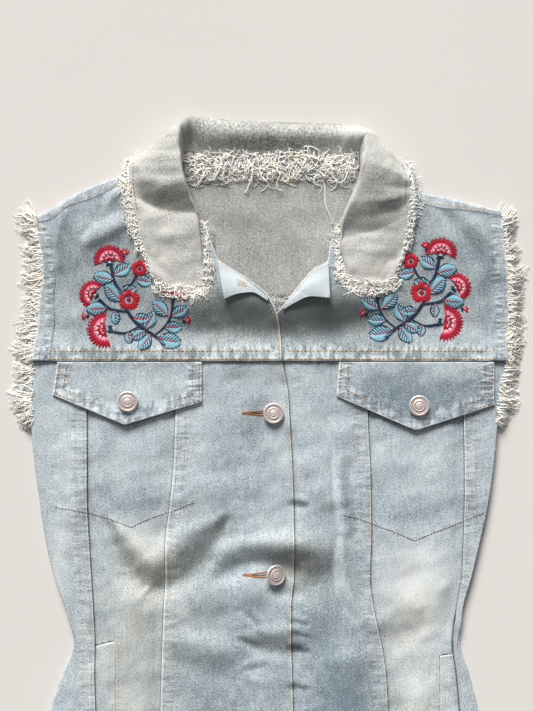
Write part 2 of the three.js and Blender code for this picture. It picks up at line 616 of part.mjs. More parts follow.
// One lock of loose threads: a bent three-sided spike from a root inside the backing.
function lock(root, belly, tip, aside, thick) {
  const ring = (centre, radius) => [0, 1, 2].map((n) => {
    const angle = 0.5 + (n * 2 * Math.PI) / 3;
    const up = new THREE.Vector3(0, 0, radius * 0.8 * Math.sin(angle));
    return centre.clone().addScaledVector(aside, radius * Math.cos(angle)).add(up);
  });
  const points = [...ring(root, 0.4), ...ring(belly, thick), tip];
  const spike = new THREE.BufferGeometry();
  spike.setAttribute("position", new THREE.Float32BufferAttribute(points.flatMap((p) => p.toArray()), 3));
  spike.setIndex([0, 1, 2, 0, 3, 4, 0, 4, 1, 1, 4, 5, 1, 5, 2, 2, 5, 3, 2, 3, 0, 3, 6, 4, 4, 6, 5, 5, 6, 3]);
  return toSolid(spike);
}

// A narrow backing along a line, with locks of loose threads that stand off it, fused into one body.
// The line gives points and ways out from the cloth's edge; the look gives the locks' size and fall.
function fringe(line, outward, count, look) {
  const backing = steps(Math.round(count / 2)).map(
    (s) => [0, BACKING_WIDTH].map((d) => line(s).addScaledVector(outward(s), d)),
  );
  const strip = toSolid(wall(backing, BACKING_CLOTH));
  const upright = strip.volume() > 0 ? strip : toSolid(wall(turned(backing), BACKING_CLOTH));
  return Array.from({ length: count }, (_, k) => {
    const s = (k + 0.5) / count;
    const out = outward(s);
    const aside = new THREE.Vector3(out.y, -out.x, 0).normalize();
    const swing = Math.sin(k * 0.9) * 0.16 + Math.sin(k * 0.37 + 1) * 0.2;
    const length = look.length(s) * (0.78 + 0.16 * Math.sin(k * 2.3) + 0.1 * Math.sin(k * 0.71 + 2));
    const lean = out.clone().addScaledVector(aside, swing).normalize();
    const root = line(s).addScaledVector(out, BACKING_WIDTH * 0.73);
    const belly = root.clone().addScaledVector(lean, length * 0.45);
    const tip = root.clone().addScaledVector(lean, length);
    const clear = look.thick + 0.4;
    belly.z = Math.max(look.floor(belly) + clear, belly.z + look.loft * (0.6 + 0.4 * Math.sin(k * 1.7)));
    tip.z = Math.max(look.floor(tip) + clear * 0.7, root.z - look.droop * (0.8 + 0.5 * Math.sin(k * 1.1)));
    return lock(root, belly, tip, aside, look.thick);
  }).reduce((joined, piece) => joined.add(piece), upright);
}

const onYoke = (side) => (p) => yokeLevel(p.x, p.y, side) + CLOTH / 2;

function armholeFringe(side) {
  const way = inwards(side);
  const ys = [-57, -37, -14, 8, 24, 43, 59, 75, 91, side === "left" ? 99 : 102];
  const path = pathOf(ys.map((y) => {
    const x = rim(side, y);
    return { x: x - way * 0.8, y, z: (y > YOKE_SEAM_Y ? yokeLevel(x, y, side) : EDGE_LEVEL) - 0.2 };
  }));
  const outward = (s) => new THREE.Vector3(-way, mix(-0.25, 0.2, s), 0).normalize();
  const shortest = side === "left" ? 19 : 12;
  return toGeometry(fringe(path, outward, ARMHOLE_LOCKS, {
    length: (s) => shortest + 5 * Math.sin(Math.PI * s), loft: 1, droop: 2.4, thick: 1.5, floor: () => 0,
  }));
}

// The frayed rim of half the collar, from the shoulder round the leaf's corner to its front. What would
// come too near the collar is cut away.
function collarFringe(side) {
  const mirror = (s) => (side === "left" ? s : 1 - s);
  const places = [
    ...[0.275, 0.24, 0.2, 0.15, 0.1, 0.06, 0.02, 0].map((s) => ({ s, share: 1 })),
    ...[0.85, 0.65, 0.45, 0.25, 0.08].map((share) => ({ s: 0, share })),
    ...[0.02, 0.05, 0.085, 0.115].map((s) => ({ s, share: 0 })),
  ];
  const edge = pathOf(places.map(({ s, share }) => collarPoint(mirror(s), share)));
  const outward = (s) => {
    const ahead = edge(s + 0.02).sub(edge(s - 0.02));
    return new THREE.Vector3(ahead.y, -ahead.x, 0).multiplyScalar(inwards(side)).normalize();
  };
  const line = (s) => edge(s).addScaledVector(outward(s), 1.3);
  const solid = fringe(line, outward, COLLAR_LOCKS, {
    length: (s) => along(COLLAR_FRAY[side], "at", "length", s),
    loft: 0.6,
    droop: 3,
    thick: 1.3,
    floor: (p) => (p.y > shoulder("fold", p.x) - 3 ? 3.6 : onYoke(side)(p)),
  });
  const keepClear = toSolid(wall(collar(), COLLAR_CLOTH + 2 * SEAM_GAP));
  const cleared = [[1, 0], [-1, 0], [0, 1], [0, -1]].reduce(
    (left, [dx, dy]) => left.subtract(keepClear.translate(dx * SEAM_GAP, dy * SEAM_GAP, 0)), solid);
  return toGeometry(cleared.decompose().reduce((most, part) => (part.volume() > most.volume() ? part : most)));
}

// The frayed strip on the back neck seam, hanging down inside the neck.
function neckFringe() {
  const level = backLevel(0, NECK_Y) + CLOTH / 2 + 1;
  const line = (s) => new THREE.Vector3(mix(-70, 69, s), NECK_Y - 0.5 - 1.2 * Math.sin(Math.PI * s), level);
  const outward = () => new THREE.Vector3(0, -1, 0);
  return toGeometry(fringe(line, outward, NECK_LOCKS, {
    length: () => 15, loft: 0.4, droop: 0.5, thick: 1.5, floor: (p) => backLevel(p.x, p.y) + CLOTH / 2,
  }));
}

// A domed button with a raised rim on a short shank, upright or leaning.
function button({ name, x, y, lean }) {
  const r = BUTTON_RADIUS;
  const profile = [[0, 0], [3.2, 0], [3.2, 1.9], [r - 0.6, 2.3], [r, 3.2], [r - 0.8, 4.3], [r - 2.6, 4],
    [3, 4.6], [0, 5]];
  const shape = new THREE.LatheGeometry(profile.map(([px, pz]) => new THREE.Vector2(px, pz)), BUTTON_SIDES);
  shape.rotateX(Math.PI / 2);
  const cloth = name.includes("flap") ? frontLevel(x, y, "none") + FLAP_RAISE : frontLevel(x, y, "left");
  const base = cloth + CLOTH / 2 + 0.4;
  if (lean === 0) return shape.translate(x, y, base);
  shape.rotateY(THREE.MathUtils.degToRad(lean)).translate(0, 0, 1.9);
  const shank = new THREE.CylinderGeometry(3.2, 3.2, 3, BUTTON_SIDES).rotateX(Math.PI / 2).translate(0, 0, 1.5);
  return toGeometry(toSolid(shape).add(toSolid(shank))).translate(x, y, base + 0.3);
}

const vest = new THREE.Group();
addPiece(vest, "back_body", backBody(), INSIDE);
addPiece(vest, "back_yoke", backYoke(), INSIDE);
for (const side of ["left", "right"]) {
  const facingOut = (grid) => (side === "left" ? grid : turned(grid));
  const yoke = facingOut(frontYoke(side));
  const bandColumns = side === "left" ? [0, 1, 2] : [2, 1, 0].map((k) => yoke[0].length - 1 - k);
  const bandRows = [...yoke.keys()].slice(0, -1);
  const band = movedOut(yoke, bandRows, bandColumns, (CLOTH + BAND_CLOTH) / 2 + 0.35);
  addPiece(vest, "front_side_" + side, wall(sidePanel(side), CLOTH), DENIM);
  addPiece(vest, "front_mid_" + side, middlePanel(side), DENIM);
  addPiece(vest, "front_centre_" + side, wall(centrePanel(side), CLOTH), DENIM);
  addPiece(vest, "front_yoke_" + side, wall(yoke, CLOTH), DENIM);
  addPiece(vest, "armhole_band_" + side, wall(band, BAND_CLOTH), DENIM);
  addPiece(vest, "welt_" + side, welt(side), DENIM);
  addPiece(vest, "pocket_flap_" + side, wall(flap(side), CLOTH), DENIM);
  addPiece(vest, "neck_facing_" + side, wall(facingOut(facing(side)), CLOTH), DENIM);
  addPiece(vest, "armhole_fringe_" + side, armholeFringe(side), FRAY);
  addPiece(vest, "collar_fringe_" + side, collarFringe(side), FRAY);
}
addPiece(vest, "neck_fringe", neckFringe(), FRAY);
addPiece(vest, "collar", wall(collar(), COLLAR_CLOTH), DENIM);
for (const spec of BUTTONS) addPiece(vest, spec.name, button(spec), METAL);

export default vest;
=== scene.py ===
import math
from functools import partial

import bmesh
import bpy
import numpy as np
from mathutils import Matrix, Vector


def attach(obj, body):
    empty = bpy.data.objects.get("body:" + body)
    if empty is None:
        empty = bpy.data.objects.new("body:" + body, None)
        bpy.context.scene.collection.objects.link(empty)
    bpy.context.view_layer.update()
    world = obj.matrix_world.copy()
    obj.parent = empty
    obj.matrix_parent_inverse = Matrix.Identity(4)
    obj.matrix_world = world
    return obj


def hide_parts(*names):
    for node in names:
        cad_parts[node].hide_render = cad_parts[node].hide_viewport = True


bl_info = {
    "name": "Denim Vest",
    "version": (1, 0, 0),
    "blender": (4, 5, 0),
    "location": "View3D > Sidebar > Vest",
    "description": "Builds a light denim vest with frayed edges, laid flat on its CAD frame",
    "category": "Object",
}

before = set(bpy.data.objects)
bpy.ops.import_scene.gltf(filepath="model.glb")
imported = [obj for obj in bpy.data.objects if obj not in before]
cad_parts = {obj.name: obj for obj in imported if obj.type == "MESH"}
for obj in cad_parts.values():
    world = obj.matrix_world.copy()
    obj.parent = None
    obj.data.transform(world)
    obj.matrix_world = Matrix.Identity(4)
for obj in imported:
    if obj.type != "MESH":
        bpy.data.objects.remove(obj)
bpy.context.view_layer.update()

# The garment's own measures. The words left and right are those of someone who looks down at the laid front.
MM = 0.001
CLOTH = 1.2 * MM
COLLAR_CLOTH = 1.6 * MM
BAND_CLOTH = 0.8 * MM
STACK = 1.8 * MM  # middle of one layer to the middle of the layer on top of it
LAP = 5 * MM
SEAM_GAP = 0.4 * MM
HEM_Y = -444 * MM
YOKE_SEAM_Y = -9.3 * MM
ARMHOLE_BOTTOM_Y = -64 * MM
WAIST_Y = -245 * MM
RIGHT_DIP_Y = -227 * MM
RIGHT_DIP_RUN = 14 * MM
BACK_SEAM_Y = 44 * MM
NECK_Y = 160.4 * MM
EDGE_LEVEL = 5.5 * MM
BODY_PUFF = 1.5 * MM
PUFF_REACH = 40 * MM
YOKE_RAISE = STACK + 0.2 * MM
OVERLAP_LIFT = STACK + 0.3 * MM
FLAP_RAISE = STACK + 0.1 * MM
NECK_RAISE = 2.4 * MM
RIGHT_HIDDEN_X = -14 * MM
SHOULDER_X = 78 * MM  # inner end of the shoulder seams
COLLAR_BACK_Y = 154 * MM  # from here up the collar stands on the back yoke
COLLAR_LENGTH = 400 * MM
COLLAR_DEPTH = 75 * MM
WRAP_SHARE = 0.14  # share of the back body's width, on each side, that wraps to the front
FOLD_SHARE, FRONT_SHARE = 0.7, 0.85  # shares of the back yoke's length where its fold starts and ends
WRAP_TUCK = 5 * MM
FLARE_TUCK = 11 * MM
LOW_WRAP = 2.2 * MM
FOLD_GAIN = 1.5  # the visible cloth folds a little deeper than the solids
FINE = 1.85 * MM  # spacing of the points on cloth that shows
COARSE = 3.7 * MM  # and on cloth that lies below
SIDES = ("left", "right")


def table(columns, rows):
    """Rows of millimetres as named columns in metres."""
    return {name: np.array([row[k] for row in rows], float) * MM for k, name in enumerate(columns)}


# The seams of the body from the yoke seam to the hem, as x at each y.
BODY = table(
    ("y", "leftRim", "leftEdge", "leftOuter", "leftInner", "front", "rightInner", "rightOuter", "rightEdge",
     "rightRim"),
    (
        (-9, -199.3, -199.3, -154.8, -79, 8.1, 78, 159.8, 196, 196),
        (-37, -200, -200, -154.4, -79.7, 13.5, 78.9, 159.4, 189.7, 189.7),
        (-64, -200.1, -199.6, -154, -80.5, 14.9, 79.9, 159.6, 186.8, 187.6),
        (-91, -198, -195, -153.6, -81.5, 16.6, 81.3, 160.2, 182.6, 185.1),
        (-125, -193.5, -190, -153.6, -84.2, 17.8, 82.2, 160.2, 177.6, 180.4),
        (-158, -188.4, -185, -152.1, -88.2, 18.3, 82.4, 159.4, 170.6, 173.3),
        (-187, -181.4, -178.6, -150.4, -88.6, 18.3, 81.2, 158.2, 163.8, 166.4),
        (-216, -171.8, -169.6, -148.6, -90, 15.8, 84.7, 153.4, 156.2, 158.6),
        (-245, -164.8, -162.8, -147.5, -91.1, 15.8, 90.9, 150.2, 154, 156.5),
        (-270, -174.1, -165.8, -147.7, -91.8, 16.6, 94.6, 153.1, 161.3, 163.9),
        (-300, -184.7, -166.3, -146.7, -92.6, 17.4, 96.3, 155.8, 168.8, 171.4),
        (-370, -202.5, -168.5, -145.3, -94.2, 18.3, 98.8, 161, 183.3, 185.9),
        (-444, -214, -170, -144.4, -95.5, 18.3, 100.4, 164.3, 194.9, 197.5),
    ),
)
ARMHOLES = table(
    ("y", "left", "right"),
    (
        (-9, -199.3, 196), (8, -197.3, 194.8), (24, -194.6, 195.8), (43, -193.4, 197.2), (59, -190.7, 196.3),
        (75, -191.1, 194.4), (91, -194, 192.4), (112, -198, 191.9),
    ),
)
# The shoulders: the fold at the very top and the seam that lies just in front of it, as y at each x.
SHOULDERS = table(
    ("x", "fold", "seam"),
    (
        (-199, 109.5, 106.5), (-183, 117.5, 109), (-168, 127, 120.5), (-148, 136.5, 127), (-125, 145, 138),
        (-101, 153.5, 147), (-79, 163, 157), (79, 162, 156), (102, 146, 139), (125, 130.5, 122),
        (146, 126.3, 117.8), (166, 121.5, 116.2), (193, 115, 111.5),
    ),
)
# The free edges of the front yokes: up the button edge, along the turned-back fold and up the neck.
NECKLINES = {
    "left": table(("x", "y"), (
        (8.1, -9.3), (7.2, 9), (5.3, 25), (-2.3, 43.4), (-20.4, 58.6), (-36.6, 69), (-44.8, 75),
        (-49.8, 88), (-55.6, 100.4), (-61.4, 110.4), (-68, 124.5), (-73.9, 141), (-78, 156),
    )),
    "right": table(("x", "y"), (
        (-14, -9.3), (-10, 12), (-3, 24), (5.3, 32), (20.6, 51), (35.7, 68), (46.3, 74),
        (47.8, 84), (50.5, 94), (61.4, 116.2), (68, 132.8), (73.9, 146), (78, 155),
    )),
}
# Broad soft folds of the laid front, most of which the solids have too: a trough where rise is below 0.
FOLDS = table(
    ("x0", "y0", "x1", "y1", "rise", "width"),
    (
        (-84, -126, -28, -112, 1.6, 14), (-60, -208, -12, -199, 1.6, 13), (-62, -250, -40, -330, 2.4, 15),
        (-120, -210, -112, -300, 2.8, 15),
        (30, -95, 47, -124, 1.8, 10), (108, -150, 136, -196, 1.6, 18), (60, -262, 66, -352, 3.2, 16),
        (122, -290, 128, -420, 2.6, 14), (-160, -80, -164, -140, 1.6, 12), (-174, 112, -181, 72, 2.2, 8),
        (-155, 95, -134, 104, 2.2, 10),
    ),
)
# Finer creases, most of them shallower and narrower than the folds.
CREASES = table(
    ("x0", "y0", "x1", "y1", "rise", "width"),
    (
        (-40, -196, -8, -186, 0.7, 4), (60, -163, 67, -212, 0.4, 5),
        (-174, 118, -178, 96, 0.8, 4), (-178, 96, -181, 70, 0.7, 4), (-128, 132, -146, 102, 0.8, 4),
        (-146, 102, -157, 82, 0.6, 4), (-44, 36, -24, 10, -0.5, 6),
        (-60, 60, -46, 24, 0.5, 7), (44, 40, 62, 8, 0.5, 7), (-130, -230, -118, -262, 0.7, 5),
        (-40, -230, -56, -268, 0.6, 6), (-10, -236, -16, -290, -0.5, 5), (40, -240, 52, -282, -0.6, 6),
        (76, -150, 84, -196, 0.6, 5), (140, -196, 128, -238, 0.7, 5), (-178, -84, -172, -122, 0.6, 4),
        (168, -84, 164, -120, 0.6, 4), (-30, -92, -12, -122, -0.5, 6), (96, -88, 112, -108, 0.4, 7),
        (-110, -300, -122, -352, 0.6, 7), (20, -330, 44, -372, 0.6, 8), (-60, -372, -34, -410, 0.6, 8),
        (90, -330, 76, -386, -0.6, 7), (-149, 116, -133, 132, 1.2, 5),
        (-114, -158, -88, -168, 0.6, 8), (-22, -226, -8, -232, 0.7, 3),
        (-22, -238, -8, -243, 0.7, 3),
        (-20, -272, -6, -276, 0.7, 3), (-24, -100, -24, -230, 0.5, 2.5), (-14, -90, -15, -240, 0.5, 2.5),
        (-70, 50, -24, 44, 3.4, 24), (30, 46, 76, 52, 3.4, 24), (-190, -150, -172, -236, 0.9, 4),
    ),
)
# Deeper creases. Each is a line whose cloth falls away on its right as it is walked, or on its left where the
# slope is below 0, and rises again on both sides: how steep, how much paler its core is painted (below 0 it is
# painted shade, above 0 painted light), how beige, and x, y and half width at its points.
FALLS = (
    (0.48, -0.35, 0.6, ((-134.5, -143.6, 4), (-123.6, -160.8, 9), (-112.8, -181.3, 14), (-97.5, -189, 16),
                        (-80, -181, 18), (-64.3, -167, 19), (-50.3, -153, 14), (-41, -141, 6))),
    (0.42, -0.25, 0.2, ((-45.2, -184, 8), (-36.2, -175, 14), (-23.5, -170, 12), (-4.3, -167.2, 12),
                        (16, -170, 14))),
    (0.35, -0.30, 0.5, ((-26, -238.7, 4), (-10.7, -241.2, 10), (16.1, -243.1, 14))),
    (0.25, -0.20, 0.1, ((0, -197, 6), (16, -199, 8))),
    (-0.3, -0.25, 0.0, ((-69.4, -204, 3), (-64.3, -222, 6), (-59.2, -235, 3))),
    (0.20, -0.15, 0.0, ((-74.5, -250, 14), (-46.4, -258, 18))),
    (0.35, -0.30, 0.0, ((-19.6, -217, 3), (-12, -226, 4))),
    (0.30, -0.30, 0.0, ((-24.7, -264.2, 3), (-8.2, -260.4, 5))),
    (0.40, -0.20, 1.0, ((17, -176, 23), (30, -177, 24))),
    (0.45, -0.20, 0.0, ((17.5, -126, 5), (27, -128, 4))),
    (0.45, -0.20, 0.0, ((17.5, -224, 4), (27, -226, 3))),
    (0.45, -0.20, 0.0, ((17.5, -233, 4), (28, -236, 3))),
    (0.45, -0.25, 0.0, ((17.5, -246, 5), (29, -249, 4))),
    (0.40, -0.20, 0.0, ((17.5, -278, 5), (28, -280, 4))),
    (-0.45, 0.6, 0.0, ((72.4, -224, 5), (63.4, -211, 7), (57, -196.6, 7), (55, -178.7, 6), (55.5, -158, 4))),
    (-0.40, 0.4, 0.0, ((57, -150, 3.6), (54.5, -127, 4), (51, -92, 3.6))),
    (0.35, -0.20, 0.0, ((66, -150, 6), (62, -120, 7), (60, -92, 5))),
    (0.17, -0.25, 0.7, ((99, -234, 16), (117, -223, 17))),
    (0.27, 0.0, 0.5, ((-66, 26, 16), (-40, 31, 24), (-8, 26, 22))),
    (0.27, 0.0, 0.5, ((12, 22, 16), (40, 30, 24), (66, 30, 18))),
    (0.40, 0.0, 0.0, ((133, 128, 4), (156, 107, 9), (177, 83, 11), (184, 62, 8), (187, 34, 6), (190, 8, 4))),
    (-0.30, 0.3, 0.0, ((-153.7, 93, 7), (-126.6, 109, 9))),
    (-0.25, 0.3, 0.0, ((-138, 124, 5), (-128, 137, 6))),
    (0.22, -0.10, 0.0, ((-104, -318, 10), (-76, -330, 12))),
    (0.24, -0.10, 0.0, ((40, -330, 10), (78, -318, 14))),
    (0.20, -0.10, 0.0, ((-190, -322, 6), (-160, -334, 10))),
)
# The collar from its left front end round the back to its right front end.
COLLAR = table(
    ("neckX", "neckY", "rollX", "rollY", "rollZ", "bulgeX", "bulgeY", "bulgeZ", "midX", "midY", "midZ",
     "rimX", "rimY", "rimZ"),
    (
        (-56, 54.5, -60, 53, 12.2, -67, 51.8, 12.6, -80, 51, 11.8, -98, 60.5, 10.2),
        (-57.5, 73, -61.5, 73, 13.4, -69, 72, 13.8, -83, 71, 13.2, -103, 73, 10.2),
        (-59, 91, -63.5, 91.5, 15.4, -71, 90, 15.6, -86, 87, 14.4, -107.5, 85, 10.2),
        (-61.5, 111, -66, 113.5, 18.4, -74.5, 110, 18.4, -91, 104, 16.4, -112.5, 100, 10.6),
        (-67.5, 127, -71.5, 127, 21.4, -80, 125, 21.2, -96, 121.5, 18.2, -116.5, 118, 10.8),
        (-72, 141, -75.5, 141.5, 24, -84, 140.5, 23.6, -100, 138, 19, -118.5, 135.5, 10.4),
        (-75, 153, -77.2, 158, 25, -86.5, 157, 24, -102, 154.5, 17.5, -118, 151.5, 6.5),
        (-73.8, 162.9, -79.6, 172, 23, -88, 171, 20.5, -100, 168.5, 10, -110, 162, 1.4),
        (-72.5, 164, -78.5, 184, 17.5, -85.5, 184, 12.5, -92, 176, 2.2, -95, 146, 0.8),
        (-68.5, 163.8, -73, 190.5, 10.5, -77.5, 190.8, 6.5, -80, 186, 1.6, -79, 135, 0.8),
        (-60, 162.5, -65, 192, 5.4, -66.3, 194.6, 3, -66.5, 191, 0.85, -62, 129.5, 0.8),
        (-31, 162, -31, 188.5, 4.1, -31, 191.4, 2.45, -31, 188, 0.8, -31, 127, 0.8),
        (0, 162, 0, 187, 4.1, 0, 190, 2.45, 0, 186.6, 0.8, 0, 126, 0.8),
        (27, 162, 27, 186.5, 4.1, 27, 189.5, 2.45, 27, 186, 0.8, 27, 126, 0.8),
        (55, 162.5, 58, 184.5, 4.8, 58, 188, 2.6, 58, 184.5, 0.8, 58, 128.5, 0.8),
        (67, 163.8, 76, 183, 9.5, 79, 184, 6, 81, 179.5, 1.6, 78, 133, 0.8),
        (71.5, 164, 81, 177.5, 16.5, 87, 177.5, 11.5, 92.5, 170, 2.2, 97, 142, 0.8),
        (73, 162.7, 79.8, 166.5, 22, 87, 166, 19.5, 98, 163, 10, 106.5, 156.5, 1.4),
        (73.8, 152, 76, 154, 24.5, 85, 153, 23.5, 98.5, 150.5, 16.5, 112.5, 147, 6),
        (70.5, 137.5, 72.6, 136, 23, 81, 135, 22.4, 96, 133.5, 18.2, 114.5, 134.5, 10.2),
        (63, 121, 66, 119.5, 20.5, 75, 118.5, 20, 91, 117.5, 17, 114.5, 119, 10.6),
        (57.5, 104, 60.6, 102, 17.4, 69.5, 101, 17.2, 87, 100, 15.4, 113.3, 102, 10.4),
        (56.5, 88, 60.2, 87, 15, 68, 86, 15, 84, 84.5, 14, 110, 85.5, 10),
        (59.5, 73, 63.5, 72, 13.4, 70, 70.5, 13.4, 84, 69, 12.8, 105.5, 72, 10),
        (61.5, 59, 65.5, 58.5, 12.2, 71, 56.5, 12.4, 84, 54, 11.6, 99, 56, 10.2),
    ),
)
COLLAR_KNOTS = {"neck": 0, "roll": 0.24, "bulge": 0.36, "mid": 0.6, "rim": 1}
# The chest pocket flaps: corners from the outer top round the point to the inner top.
FLAPS = {
    "left": table(("x", "y"), ((-177.8, -10), (-182.4, -37), (-122, -62.3), (-58.3, -43), (-58.3, -10))),
    "right": table(("x", "y"), ((55.5, -10), (53.5, -38.2), (119.1, -67), (184.4, -45.6), (184.4, -10))),
}
# The sewn outline of each chest pocket's bag, from its left side down round the point and up its right side.
POCKETS = {
    "left": table(("x", "y"), (
        (-180.6, -58), (-181.8, -130.3), (-155.4, -134.5), (-137.4, -139.3), (-117.2, -147.2), (-102.4, -140.3),
        (-86.5, -135), (-63.9, -126.2), (-62.7, -75), (-61.4, -46),
    )),
    "right": table(("x", "y"), (
        (54.8, -46), (55.5, -75), (57.9, -136.5), (71.9, -140.5), (99.8, -150.4), (118.4, -157.9),
        (134.7, -151.6), (159.2, -142.3), (176.7, -135.3), (180.5, -60),
    )),
}
# The side pockets' welts. Slope is the top edge's rise outwards.
WELTS = {
    "left": {"inner": -130 * MM, "top": -241 * MM, "slope": -0.31, "bottom": -390 * MM},
    "right": {"inner": 139.4 * MM, "top": -254 * MM, "slope": 0.14, "bottom": -398 * MM},
}
# The turned-back corner at the top of each front: its fold line and its free edge, from the lower end.
FACINGS = {
    "left": {
        "fold": table(("x", "y"), ((-2.6, 42.6), (-20.8, 57.6), (-37, 68), (-45.3, 74.2))),
        "free": table(("x", "y"), ((-3.6, 40.6), (-17, 47.5), (-28, 46.2), (-39.5, 41.7))),
        "lift": 1.4 * MM,
    },
    "right": {
        "fold": table(("x", "y"), ((8.5, 34.8), (21.4, 50.4), (36.4, 67), (46.8, 72.8))),
        "free": table(("x", "y"), ((9.6, 33.6), (18, 38.6), (32, 44), (47.7, 42.4))),
        "lift": 2.6 * MM,
    },
}
BUTTONS = {
    "button_flap_left": (-119.5, -42.5, 0),
    "button_flap_right": (121.5, -46, 0),
    "button_front_1": (1.2, -52.3, 0),
    "button_front_2": (2, -186.5, 24),
    "button_front_3": (2, -320, 0),
}
# Sewing lines that follow no seam: the facing's edge behind each front, and the turned armhole edges.
FACING_ROWS = {
    "left": table(("x", "y"), (
        (-30, -12), (-29, -25), (-27, -71), (-26.3, -118), (-25.7, -164), (-29, -205), (-27, -246), (-26, -300),
        (-26, -440),
    )),
    "right": table(("x", "y"), (
        (20.5, -12), (21.5, -37), (23.2, -71), (25, -130), (24.4, -176), (27.4, -246), (28, -440),
    )),
}
ARMHOLE_ROWS = {
    "left": table(("x", "y"), (
        (-190.7, 104.6), (-186, 91.3), (-183.7, 72.6), (-184.1, 56.8), (-185.4, 36.9), (-186.8, 17), (-188, -8),
    )),
    "right": table(("x", "y"), (
        (183.8, 110), (185.1, 90), (186.4, 70), (188.4, 43.5), (189.1, 23.7), (189.7, -8),
    )),
}


def ease(t):
    t = np.clip(t, 0, 1)
    return t * t * (3 - 2 * t)


def fades(distance, full, run_out):
    """1 up to a distance, in millimetres, and from there down to 0 over the next ones."""
    return 1 - ease((distance - full * MM) / (run_out * MM))


def mix(a, b, t):
    return a + (b - a) * t


def run(at, values, here):
    """The smooth value, with no overshoot, at each place here of a line through values at rising places."""
    at = np.asarray(at, float)
    values = np.asarray(values, float)
    values = values.reshape(len(at), -1)
    here = np.clip(np.atleast_1d(here), at[0], at[-1])
    slope = np.diff(values, axis=0) / np.diff(at)[:, None]
    product = slope[:-1] * slope[1:]
    total = np.where(product > 0, slope[:-1] + slope[1:], 1)
    tangent = np.concatenate([slope[:1], np.where(product > 0, 2 * product / total, 0), slope[-1:]])
    i = np.clip(np.searchsorted(at, here) - 1, 0, len(at) - 2)
    column = np.arange(len(here)) if values.shape[1] > 1 else 0
    span = at[i + 1] - at[i]
    t = (here - at[i]) / span
    bend = tangent[i, column] * (1 - t) - tangent[i + 1, column] * t
    return mix(values[i, column], values[i + 1, column], ease(t)) + span * t * (1 - t) * bend


def lengths_along(points):
    """How far each point lies along its line."""
    return np.concatenate([[0], np.cumsum(np.linalg.norm(np.diff(points, axis=0), axis=1))])


def points_at(points, lengths, here):
    """Points at given lengths along a line, straight between its own points."""
    return np.column_stack([np.interp(here, lengths, column) for column in points.T])


def along(rows, key, column, here):
    order = np.argsort(rows[key])
    return run(rows[key][order], rows[column][order], here)


def body(column, y):
    return along(BODY, "y", column, y)


def armhole(side, y):
    return along(ARMHOLES, "y", side, y)


def rim(side, y):
    return np.where(y > YOKE_SEAM_Y, armhole(side, y), body(side + "Rim", y))


def shoulder(column, x):
    return along(SHOULDERS, "x", column, x)


def inwards(side):
    return 1 if side == "left" else -1


def path_of(rows):
    """A smooth line through a table's x and y, walked at an even pace: points at shares from 0 to 1."""
    x, y = rows["x"], rows["y"]
    lengths = lengths_along(np.column_stack([x, y]))

    def at(share):
        here = np.clip(np.atleast_1d(share), 0, 1) * lengths[-1]
        return run(lengths, x, here), run(lengths, y, here)

    return at


def strokes(rows, x, y):
    """Soft ridges and troughs along short lines."""
    total = np.zeros_like(x)
    for x0, y0, x1, y1, rise, width in zip(*rows.values()):
        dx, dy = x1 - x0, y1 - y0
        t = np.clip(((x - x0) * dx + (y - y0) * dy) / (dx * dx + dy * dy), 0, 1)
        total += rise * np.exp(-(((x - x0 - t * dx) ** 2 + (y - y0 - t * dy) ** 2) / width**2))
    return total


def falls(x, y):
    """Height, painted shade and light, and warmth of the deeper creases."""
    height, pale, warm = np.zeros_like(x), np.zeros_like(x), np.zeros_like(x)
    for slope, faded, beige, line in FALLS:
        line = np.array(line) * MM
        nearest, aside = np.full_like(x, 100.0), np.zeros_like(x)
        for (x0, y0, w0), (x1, y1, w1) in zip(line[:-1], line[1:]):
            dx, dy = x1 - x0, y1 - y0
            length = math.hypot(dx, dy)
            t = ((x - x0) * dx + (y - y0) * dy) / length**2
            within = np.clip(t, 0, 1)
            right = ((x - x0) * dy - (y - y0) * dx) / length
            away = np.hypot(right, (t - within) * length) / mix(w0, w1, within)
            aside = np.where(away < nearest, right, aside)
            nearest = np.minimum(nearest, away)
        height -= slope * aside * np.exp(-nearest**3)
        # The core is painted darker where the row's value is below 0, as painted shade, and paler above 0, as
        # painted light.
        pale += faded * np.exp(-((nearest / 0.8) ** 4))
        warm += beige * np.exp(-nearest**2)
    return height, pale, warm


def ripple(x, y, size, seed, across=1.0, count=20):
    """Smooth uneven waves, about one high. Across stretches them from side to side."""
    rng = np.random.default_rng(seed)
    total = np.zeros_like(x)
    for _ in range(count):
        angle, phase = rng.uniform(0, 2 * math.pi, 2)
        wave = 2 * math.pi / (size * rng.uniform(0.7, 1.6))
        total += np.sin(wave * (x * math.cos(angle) / across + y * math.sin(angle)) + phase)
    return total / math.sqrt(count / 2)


def inset(points, distance):
    """An open outline of x and y rows, moved to its left by a distance."""
    ahead = np.diff(points, axis=0)
    ahead /= np.linalg.norm(ahead, axis=1)[:, None]
    aside = np.column_stack([-ahead[:, 1], ahead[:, 0]])
    joint = np.vstack([aside[:1], aside[:-1] + aside[1:], aside[-1:]])
    joint /= np.linalg.norm(joint, axis=1)[:, None]
    spread = np.concatenate([[1], (joint[1:-1] * aside[1:]).sum(axis=1), [1]])
    return points + joint * (distance / np.maximum(spread, 0.4))[:, None]


def xy(rows):
    return np.column_stack([rows["x"], rows["y"]])


def seam_line(column, offset, top=YOKE_SEAM_Y, bottom=HEM_Y, count=14):
    y = np.linspace(top, bottom, count)
    return np.column_stack([body(column, y) + offset, y])


def level_line(y, x0, x1, count=2):
    return np.column_stack([np.linspace(x0, x1, count), np.full(count, y)])


